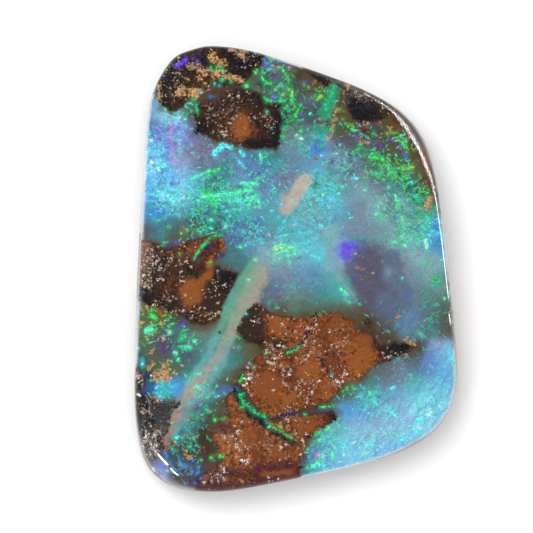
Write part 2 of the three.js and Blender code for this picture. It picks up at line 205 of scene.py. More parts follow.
# Washes of colour in the opal. Each is the distance over which it fades, and the points that it runs through.
BODY_WASHES = {
    "sky": [
        (1.1, -9.6, 7.4, -9.5, 5.6), (0.9, -8.2, 5.9, -6.9, 5.6), (0.9, 10, -6.2, 10.1, -7.6),
        (0.8, 9.4, 3.1), (1.0, 2.4, -12.7), (1.1, 5.4, -12.1, 7.6, -11.4), (0.9, 9.5, -9.4),
        (0.7, 3.3, -9.7), (0.8, 1.4, 8),
    ],
    "frost": [
        (1.2, 9.4, -9), (0.9, 9.6, -9), (1.0, 6.9, -10.2), (0.6, -8.8, 10.1), (1.1, 8.2, -10.3),
        (1.0, 6.4, -11.5), (1.0, 3.7, -12), (0.8, 10.5, -6.2),
    ],
    "pale_sky": [(1.2, 4.4, -11), (1.0, 10.1, -8), (1.1, 7, -9.2), (0.9, 10.1, -6.6), (1.0, 2.6, -12.8)],
    "bark": [
        (0.7, 6.2, 9.2, 7.3, 8.6), (0.6, 8.2, 7.4, 8.8, 5.6), (0.7, 0.4, 12.9), (0.6, 3.4, 10.9),
        (0.7, 5, 9), (0.6, -0.7, 12.9), (0.7, 6.1, 7.8), (0.5, 3, 9), (0.7, -8.3, 2.6), (0.6, -9.9, 2.7),
        (0.6, -6.9, 2.9), (0.5, -6.3, -12.2), (0.6, -9.3, -3.2), (0.9, 6.2, 7.2), (0.8, 7.6, 6.6),
        (0.7, 0.9, 12.3), (0.7, -0.6, 11), (0.9, -6.1, -10.1), (0.8, -4.8, -7.5), (0.8, 4.3, 8.6),
        (0.7, -7.6, -11.8),
    ],
    "forest": [
        (0.9, 6.6, 6.8), (0.8, 3.6, 9), (0.8, 5, 8.6), (0.8, 4.9, 7.6), (0.9, -0.6, 11.8),
        (0.8, 0.6, 11.3), (0.8, 7.8, 6), (0.7, -1.9, 12.6), (0.8, 8.2, 4.8), (0.8, -0.3, 10.3),
        (0.8, -7.9, -5.4), (0.8, -5.4, 2.9),
    ],
    "deep_sky": [
        (0.8, -9.2, 3.6), (0.6, 3.6, -9.6, 4.6, -9.9), (0.6, 9.9, -6.8), (0.7, 9.4, 2), (0.6, -8, -8.1),
    ],
    "ice_blue": [
        (0.8, -8.8, 5.1, -8, 4.9), (0.7, 10.5, -6), (1.0, 8.6, -10.4), (0.9, 9, -9.6), (0.7, -9.7, 7.1),
        (0.8, 7.8, -11.2), (0.7, 5, -11.8), (0.7, 3.4, -12),
    ],
    "glow": [
        (0.9, -7.6, 4.6), (0.9, 2.7, 4.5), (0.9, 1.3, 1.3, 0.4, 2), (1.0, 3.3, -11.4, 4.6, -11.7),
        (0.9, 8.4, -9), (0.8, 9.8, -8.6), (0.5, -8.9, -8.2), (0.5, -6.6, -7.6),
    ],
    "sea": [
        (1.1, -6.5, 5.4), (1.2, 1.6, 5.4, 3, 6.2), (1.1, 0, 2.6, -1, 3.6), (0.9, -5.6, -6.8),
        (0.9, 8, 3.6), (1.0, 5.3, -8.6), (0.9, 2.2, -11.6), (0.9, 0.4, 8.2), (1.0, -7, -9.4),
        (0.9, 7.8, 2.3), (0.9, -3.6, 4), (0.8, 2.9, -10.6), (0.8, 8, -7.6), (0.9, 2.8, -1.4),
    ],
    "lagoon": [
        (0.9, -5.4, 6.2), (0.9, -6.4, 3.6, -5, 3.4), (0.9, -0.9, 11.6), (0.9, 6.4, 6.2), (0.8, -9, 2.7),
        (1.0, 1.6, -2.1), (0.8, -4.8, -6.4), (0.8, -8.4, -9, -7.6, -10.4), (0.7, 1.6, -12.9),
        (0.8, 7.6, 5.2), (0.8, -1.6, 7.4),
    ],
    "teal": [
        (0.8, -3.9, 0.4), (0.9, -7.3, 3.4), (0.9, -4.4, -5.6), (0.8, 8.8, -1.4), (0.8, 9.4, -2.2),
        (0.8, -7, -9.9), (0.9, -6.9, -6.2), (0.8, -7.9, -4.2), (0.8, 4.9, -7.6), (0.8, 4.5, 8.2),
        (0.9, -6.3, -5), (0.8, -7.2, -11), (0.7, 9.4, -3.6), (0.7, 7.8, -5.9),
    ],
    "deep_teal": [
        (0.7, -0.4, 10.2), (0.6, -5.6, 5.7), (0.6, -1.6, 12.2), (0.8, -6.2, -10), (0.7, -7.6, -12.4),
        (0.6, -5.6, -9.4), (0.6, 0.8, 10.2), (0.6, 5.2, 9.2),
    ],
    "steel": [
        (1.0, -3.2, 6.2, -1.7, 4.9), (0.9, -2.4, 1.8), (0.9, 6.7, -8.8), (1.2, 0.5, -0.6),
        (0.9, 3.9, 3.9), (0.8, 7.6, -3.6), (0.9, 0.6, 7.2), (0.8, 2.3, 3.4),
    ],
    "denim": [
        (0.7, -4.3, 2.5), (0.8, -6.5, 4.3), (0.7, -2.9, 3), (0.6, 6.6, 4), (0.5, -6.9, -13.4),
        (0.8, -2.6, 6.6), (0.7, -9.5, 9.6), (0.6, 4.2, 2.3), (0.7, 0.9, -12.4), (0.7, 9.2, -6.4),
    ],
    "milk": [
        (1.0, 2.3, 2.2, 3, 0.9), (0.9, 1, 3.9), (0.9, 7.4, 3.2), (0.9, 8, 0.9), (0.9, -0.3, 0.9),
        (0.8, 5.8, 2.9), (0.9, 6.4, -10.6), (0.8, 4.2, 5.3), (0.8, 9, 0.2), (0.7, -6.5, -8.2),
    ],
    "haze": [
        (0.9, 5.8, 3), (0.9, 6.9, 2.6), (0.8, 6.6, 1.7), (0.8, 5.3, 4.4), (0.8, 6.9, 4.2), (0.7, -1.6, 1),
        (0.7, 9.3, -0.9),
    ],
    "mist": [(0.9, 4.3, 3, 4.2, 4.3), (0.9, 6.9, 0.2), (0.9, 8.2, -1.1), (0.8, -1.4, 0)],
    "milk_blue": [
        (0.8, 10.2, -8.9), (0.9, 7.1, -10), (0.8, 4.3, -11), (0.8, 9.4, -10.3), (0.7, -7.4, 6.4),
    ],
    "haze_violet": [
        (0.7, -8.9, 9.2), (0.7, -8.2, 8.3), (0.6, -7.5, 8.8), (0.6, 3.4, 1.3), (0.6, 9, -6),
        (0.6, -6.7, 14.2), (0.5, 7.2, -9.8), (0.5, 1.2, -12.3), (0.7, -9.2, -13.7),
    ],
    "lilac_grey": [
        (0.9, 7.2, -9.6), (0.7, -7.8, 7.2), (1.0, 5.2, -10.7), (0.8, 4, -10.5), (0.6, 3.2, 0.3),
        (0.6, 9.6, -5.3),
    ],
    "mauve": [
        (0.9, 6.4, 0.5, 7.2, -0.2), (0.8, 3.8, 5.9), (0.7, 6.3, -7.2), (0.8, 5.9, 4.3), (0.8, -0.4, -1),
        (0.8, -6.2, 7.9), (0.7, -0.4, 5.9), (0.7, 6.9, -6.9), (0.9, -6.5, 7.5), (0.6, 3.4, 5),
        (0.7, -6.9, -9), (0.9, 2.6, 7.6, 3.8, 7), (0.8, -0.5, 8.6, 0.2, 7.8), (0.8, 0, 9.4),
    ],
    "smoke": [
        (1.2, 4.8, 0.9, 5, -1.3), (0.9, 5.9, 1), (0.9, 6.2, -2), (0.7, -0.8, 12.9), (0.6, 3.8, 8.8),
        (0.6, 6, -6.6),
    ],
    "slate": [
        (0.9, -1.8, -1.6), (0.7, -6.8, -9.3), (0.9, 8.3, -3.8), (0.7, -7.4, -4.6), (0.9, 7.1, -2),
        (0.8, 6.3, -3.2), (0.8, 5.6, 2.4), (0.7, 7.9, -6.5), (0.7, -7.7, -5.3), (0.7, 5.6, -3),
    ],
    "purple_grey": [
        (0.6, 3, 8.3), (0.8, -6.3, 7.6), (0.7, 0.6, 11.2), (0.6, 4.3, 9), (0.7, 5.3, 8.2),
        (0.6, -1.4, 13.2), (0.7, 3.5, 6.4), (0.6, 5.5, 5.6),
    ],
    "dusk": [(0.7, -8.8, -5.4), (0.6, -8.9, -4.9), (0.5, 4.6, -1.7), (0.5, 4.9, 9.4), (0.5, -6, -12.9)],
    "moss": [
        (0.8, -9.6, -3.4), (0.8, -9.6, -4.7), (0.8, 3, 9.9), (0.8, 6.9, 7.2), (0.8, 0, -2.4, 1.8, -2.4),
        (0.8, 0.2, 9.3), (0.8, 9.3, 4.3), (0.7, -9.4, -5.9), (0.8, 5.8, -6.9), (0.7, 3.3, -8.4),
        (0.6, -3.4, -5.5), (0.6, -8.4, -6.4), (0.7, 5.4, 7.4), (0.7, -5.9, 13.4),
    ],
    "leaf": [
        (0.8, 5.7, 7.2), (0.8, 6.3, 4.3), (0.8, 8.2, 4.1), (0.5, 9.7, -0.7), (0.8, 6.4, 3.4),
        (0.7, 7.8, 3.4), (0.7, -0.7, 12.6), (0.6, -2.2, 12.1), (0.7, 7.2, 6.4), (0.6, -5.6, 13.5),
        (0.6, 1.2, -11.6),
    ],
    "olive": [
        (0.55, 4.4, -3.1, 5.4, -3.9), (0.6, 6.2, -4.4), (0.5, 3, -2.6, 1.2, -2.8), (0.5, -1, -2.9),
        (0.5, 8, -5.6), (0.5, 9.8, -2.6, 9.9, -4.2), (0.5, -3.4, -7, -4.7, -7.3), (0.5, -5, -9.2),
        (0.5, -5.4, -10), (0.5, -5.6, -12.8, -4.9, -12.9), (0.5, -6.1, -3.9), (0.5, -3, -5.2),
        (0.45, -8.9, 14), (0.5, 3.3, 10.6),
    ],
    "khaki_teal": [
        (0.7, -6.2, -4.5), (0.8, 9.2, -1.9), (0.7, 7.9, 6.6), (0.8, 0.2, -1.9), (0.7, 5.6, 6.4),
    ],
    "shadow": [
        (0.5, 5, -3.6), (0.45, -6.2, -11.4, -6, -10.4), (0.4, -3.9, -7.2), (0.4, 0.6, -3),
        (0.5, -8, -14.3), (0.9, -7.2, -14), (0.7, -6.6, -12.8), (0.9, -6.1, -11.4), (0.7, -7.5, -3.4),
        (0.9, 5.6, -3.6), (0.8, 4.2, 9.6), (0.4, 2.9, -8.2), (0.4, 8.2, -5.7), (0.5, -6.9, 12.4),
        (0.4, 0.3, -12.6), (0.4, -5, -13.1), (0.6, -5.4, 11.9, -4.7, 12.1), (0.5, -6, 12.2),
        (0.6, 5, -4, 5.9, -4.6), (0.6, -6, -11.5, -5.8, -12.6), (0.5, 8.2, -5.4),
    ],
    "honey": [
        (0.6, 6.2, 9.6, 7.3, 9), (0.6, 8.1, 7.7, 8.7, 6), (0.5, 8.8, 5.6), (0.5, 3.2, 10.9, 3.5, 10.2),
        (0.5, 1.6, 12.5), (0.5, 7.7, 8.4),
    ],
    "ink": [
        (0.6, -3.9, -8.3, -3.2, -9.3, -2.2, -10, -1.2, -10.8, 0.2, -11.5),
        (0.5, -3.9, -8.4, -3.3, -9.4, -2.3, -10.2, -1.2, -10.9, 0.2, -11.6), (0.3, -4.1, -8.1),
    ],
    "navy": [
        (0.5, -1.5, -10, 0.5, -9.65, 1.9, -9.4), (0.4, -1.5, -10, 0.5, -9.65, 1.4, -9.5),
        (0.5, -3.4, -9.4, -1.4, -10.8), (0.4, -10.4, -6.3, -9.9, -7.3), (0.4, -10.2, -8, -9.7, -8),
    ],
}

# Washes of colour in the ironstone
ROCK_WASHES = {
    "umber": [
        (1.5, -5.2, 10.4), (1.4, -3, 11.4), (1.5, -6, -1), (1.2, -8, -2.4), (1.2, -3.2, -3.4),
        (1.4, -7.3, 13), (1.2, -8.6, 0.4), (0.9, 1.6, 13.4), (0.9, -3, -4.8), (1, -7.1, -3.2),
        (0.9, 6.4, 11, 8, 9.8), (0.8, 8.8, 8.4, 9.4, 6.6),
    ],
    "black": [
        (0.9, -2, 8.4), (0.8, -1.3, 9.6), (0.8, -2.2, 11), (1.2, -9, -10), (1, -9.8, -11),
        (0.9, -4.7, -0.7), (0.8, -8.5, 12.6), (0.9, -3.4, 13.6), (0.9, 4.3, 10.8), (0.9, -9.2, -0.8),
        (0.7, 6.3, -5.5), (0.8, -9.2, -1.8), (0.7, -2.6, -5), (0.6, 2.5, -10), (0.6, 0.9, -11.3),
        (0.8, -10.4, -7.6), (0.7, -6.3, 9.4), (0.5, 1.8, 12.8),
    ],
    "brown": [
        (1.2, -4.3, 9.9), (1, -7.6, 0.9), (1.1, -5.9, -2.6), (1, -6.5, 11.7), (0.9, -1.4, -4.9),
        (0.8, -2.2, 10),
    ],
    "amber": [
        (0.8, -3.5, 9.5), (1.2, 4.2, -6.4), (1.1, 0.9, -6.6), (0.9, -4.3, -11.8), (0.8, 4.1, -5.3),
        (0.9, -1.2, -3.7), (0.8, -3.9, -13.2), (1.0, -0.8, -8), (0.7, 6.6, 9.4), (0.6, 8.1, 7.7, 8.8, 6),
        (0.8, 1.9, -7.9), (0.8, 0.5, -12.2), (0.8, -1.8, -12.2),
    ],
    "sienna": [
        (1.6, -1, -7.4), (1.5, 2, -4), (1.4, -2.8, -9.4), (1.4, -2.2, -11.8), (1.3, 0.5, -10.2),
        (1.2, 2.6, -5.6), (1.2, -0.2, -5), (1.1, -4.2, -9.6),
    ],
    "rust": [
        (0.8, -2.2, -6.3), (0.8, 1.9, -5), (0.7, 2.8, -6.6), (0.8, -0.3, -7.2), (0.7, -6.5, 1.3),
        (0.8, 0.6, -8.9), (0.7, 2.7, -3.6), (0.7, -7.9, 1.1), (0.6, -5, -9), (0.7, -8.5, -1.2),
    ],
    "maroon": [
        (0.5, -4.9, -10.6), (0.45, -4.7, -13.6, -3.6, -13.7), (0.5, -2.5, -13.3, -1.2, -13.3),
        (0.5, -2.5, -14.2), (0.45, -5.6, -14.2), (0.45, -0.2, -13.1), (0.5, -0.2, -14), (0.4, -5.6, 1.1),
        (0.5, 5, -4.6),
    ],
    "charcoal": [(0.9, 4.4, 12), (0.6, 2.8, 12.9), (0.6, 9.5, 5.4), (0.6, -10, -12.4)],
    "brick": [(0.6, 10.4, -1, 10.6, -4.6), (0.5, -10.5, 0.9)],
    "pale_brown": [(0.5, -10.5, 1.8, -10.4, -0.4), (0.5, -10.4, -6.9), (0.5, -9.9, 12)],
}

# Soft-edged marks in the opal: each is its width and the points that it runs through.
# The milky seam runs down from the middle of the face to the lower left corner.
VEILS = {
    "seafoam": [
        (0.3, -2.7, 0.9, -2.85, 0.4), (0.6, -2.9, 0.3, -3.3, -0.5), (0.8, -3.35, -0.7, -4.3, -2.3),
        (0.7, -4.35, -2.4, -4.8, -3.4), (0.5, -4.8, -3.4, -5.3, -4.6), (0.22, -0.95, 4.7, -0.75, 5.2),
    ],
    "sea": [
        (0.6, -5.3, -4.4, -5.9, -5.9), (0.6, -5.9, -5.9, -6.7, -7), (0.6, -4.3, -4.6, -4.9, -6),
        (0.6, -4.9, -6, -5.6, -7.3), (0.6, -7.8, -9.8, -8.2, -11.2), (0.5, -7.1, -8.9, -7.5, -9.6),
    ],
    "lagoon": [(0.4, -3.6, -1.1, -4.3, -2.1), (0.45, -7.4, -9.4, -7.7, -10.3)],
    "vein_khaki": [
        (0.2, -2.35, 0.6, -2.5, 0.2), (0.8, -2.55, 0, -2.9, -0.8), (0.95, -3, -0.9, -3.45, -2),
        (0.95, -3.45, -2, -4, -3.2), (0.8, -4, -3.2, -4.85, -5.1), (0.3, -7.9, -9.9, -8.35, -10.6),
    ],
    "vein_pink": [
        (0.5, -2.1, 0.1, -2.25, -0.4), (0.9, -2.3, -0.6, -3.2, -2.4), (0.75, -3.35, -2.4, -4.15, -4.2),
        (0.8, -4.35, -4.4, -5.1, -5.8), (0.85, -5.2, -5.9, -6.2, -7.2), (0.95, -6.3, -7.3, -7.1, -8.2),
        (0.8, -7.1, -8.2, -7.7, -9.1),
    ],
    "vein_salmon": [
        (0.85, -7.7, -9.2, -8, -9.8), (0.75, -8.1, -9.9, -8.45, -10.7), (0.5, -8.5, -10.8, -8.75, -11.6),
        (0.25, -8.65, -11.6, -8.8, -12),
    ],
    "rose": [(0.4, -7.6, -9.3, -7.9, -9.9)],
    # the cream lozenge in the middle of the seam, pink at its lower end
    "shell": [(1.0, 0.6, 6, 0.25, 5.4), (0.95, 0.25, 5.4, -0.2, 4.7), (0.6, -0.2, 4.7, -0.45, 4.3)],
    "blush": [(0.6, -0.55, 4.2, -0.75, 3.9), (0.25, -0.75, 5, -0.9, 4.4)],
    "pink": [(0.05, -8.4, 9.9, -8.35, 8.7), (0.08, -8.3, 8.6, -8.2, 7.4), (0.02, -7.9, 8.6, -7.7, 8.1)],
    "lilac": [(0.3, -8.1, 7.15), (0.3, -8.9, -13.95)],
    "mint": [
        (0.16, -6.4, 4.9, -4.6, 5.05, -3, 5.25), (0.14, -3.6, 5.65, -2.6, 5.6), (0.1, -7, 6.1, -5.7, 6.6),
    ],
    "cyan": [(0.2, -9.6, 5.05, -8.3, 4.9), (0.1, -5.3, 4.95, -4.3, 5), (0.16, -5.4, 7.7, -4.6, 8.3)],
    "mauve": [(0.04, -1.3, 2.9, -1.65, 1.7)],
    "milk": [
        (1.0, 2.5, 2.4, 2.4, 0.6), (0.6, 2.75, 0.3, 3, -0.7), (0.3, 3.2, -1, 4, -2),
        (0.4, 5.4, 3.9, 6.3, 2.9), (0.6, 7.6, 1.4, 8.3, 0.6),
    ],
    "smoke": [
        (0.9, 4.3, 0.9, 3.6, -0.2), (1.5, 5.1, 0.6, 5.1, -0.9), (0.8, 4, -0.9, 4.8, -1.8),
        (0.6, 3.45, 0.3, 3.4, -0.3), (0.8, 3.7, -0.2, 4.3, -1),
    ],
    "slate": [(0.9, 6.4, 0.9, 6.8, 0.2), (0.9, 6.9, -0.6, 7.4, -1.6), (1.0, 5.8, -2, 6.8, -2.7)],
    "mist": [
        (1.2, 3.75, 2.6, 4.6, 2.7), (1.0, 4.2, 3.3, 4.3, 3.6), (0.5, 4.4, 4.2), (0.8, 5.1, 2.6, 5.6, 2.4),
    ],
    "violet": [(0.9, 3.25, 1.45, 3.3, 0.95), (0.5, 3.5, 1.55, 4.05, 1.5)],
    "periwinkle": [(0.5, 2.95, 1.55, 3, 1)],
    "jade": [
        (0.3, 2.55, 12.3, 2.45, 11.9), (0.6, 2.4, 11.8, 2.25, 11.2), (0.85, 2.2, 11.1, 2, 10.3),
        (0.85, 1.8, 9.6, 1.75, 9.3),
    ],
    "turquoise": [
        (0.7, 1.65, 8.9), (0.5, -9.2, -8.3, -8.6, -8.1), (0.3, -10.4, -6.1, -10.2, -6.5), (0.3, 6.9, -6),
        (0.2, 3.5, 2.12, 5.8, 2.1),
    ],
    "denim": [(0.7, 1.5, 8.5, 1.3, 7.9), (0.4, -5.2, -8.1, -4.1, -8.1)],
    "steel": [(0.6, 1.15, 7.7, 0.85, 7)],
    "purple": [
        (0.2, -8.8, -5.5, -9, -5), (0.2, -7.45, -3.7), (0.2, -7.1, -5.7), (0.4, -1.6, 12.9),
        (0.4, 0.7, 12.5), (0.4, 4.2, 9.5), (0.4, 5.5, 8.2), (0.2, 2.3, -9.45, 1.6, -9.5),
        (0.3, 3.2, -7.8), (0.3, -9.4, 2.5), (0.3, 5.9, 8.3), (0.3, 2.9, 8.4), (0.3, 2.4, 7.2),
    ],
    "navy": [
        (0.4, -10.2, -8, -9.5, -8.05), (0.4, -10.1, -6.8, -9.8, -7.3), (0.4, -0.65, 10.4, -0.85, 9.8),
        (0.4, -2.4, 12.4),
    ],
    "azure": [
        (0.4, -9.8, -8, -9.3, -7.9), (0.3, -8.3, -8, -7.9, -8.3), (0.3, -5.3, -8.15), (0.1, 6.2, -0.55),
    ],
    "shadow": [(0.1, -0.6, 6), (0.7, -6.1, -11, -5.9, -12), (0.6, 4.8, -3.7), (0.5, 0.2, 12.9)],
}
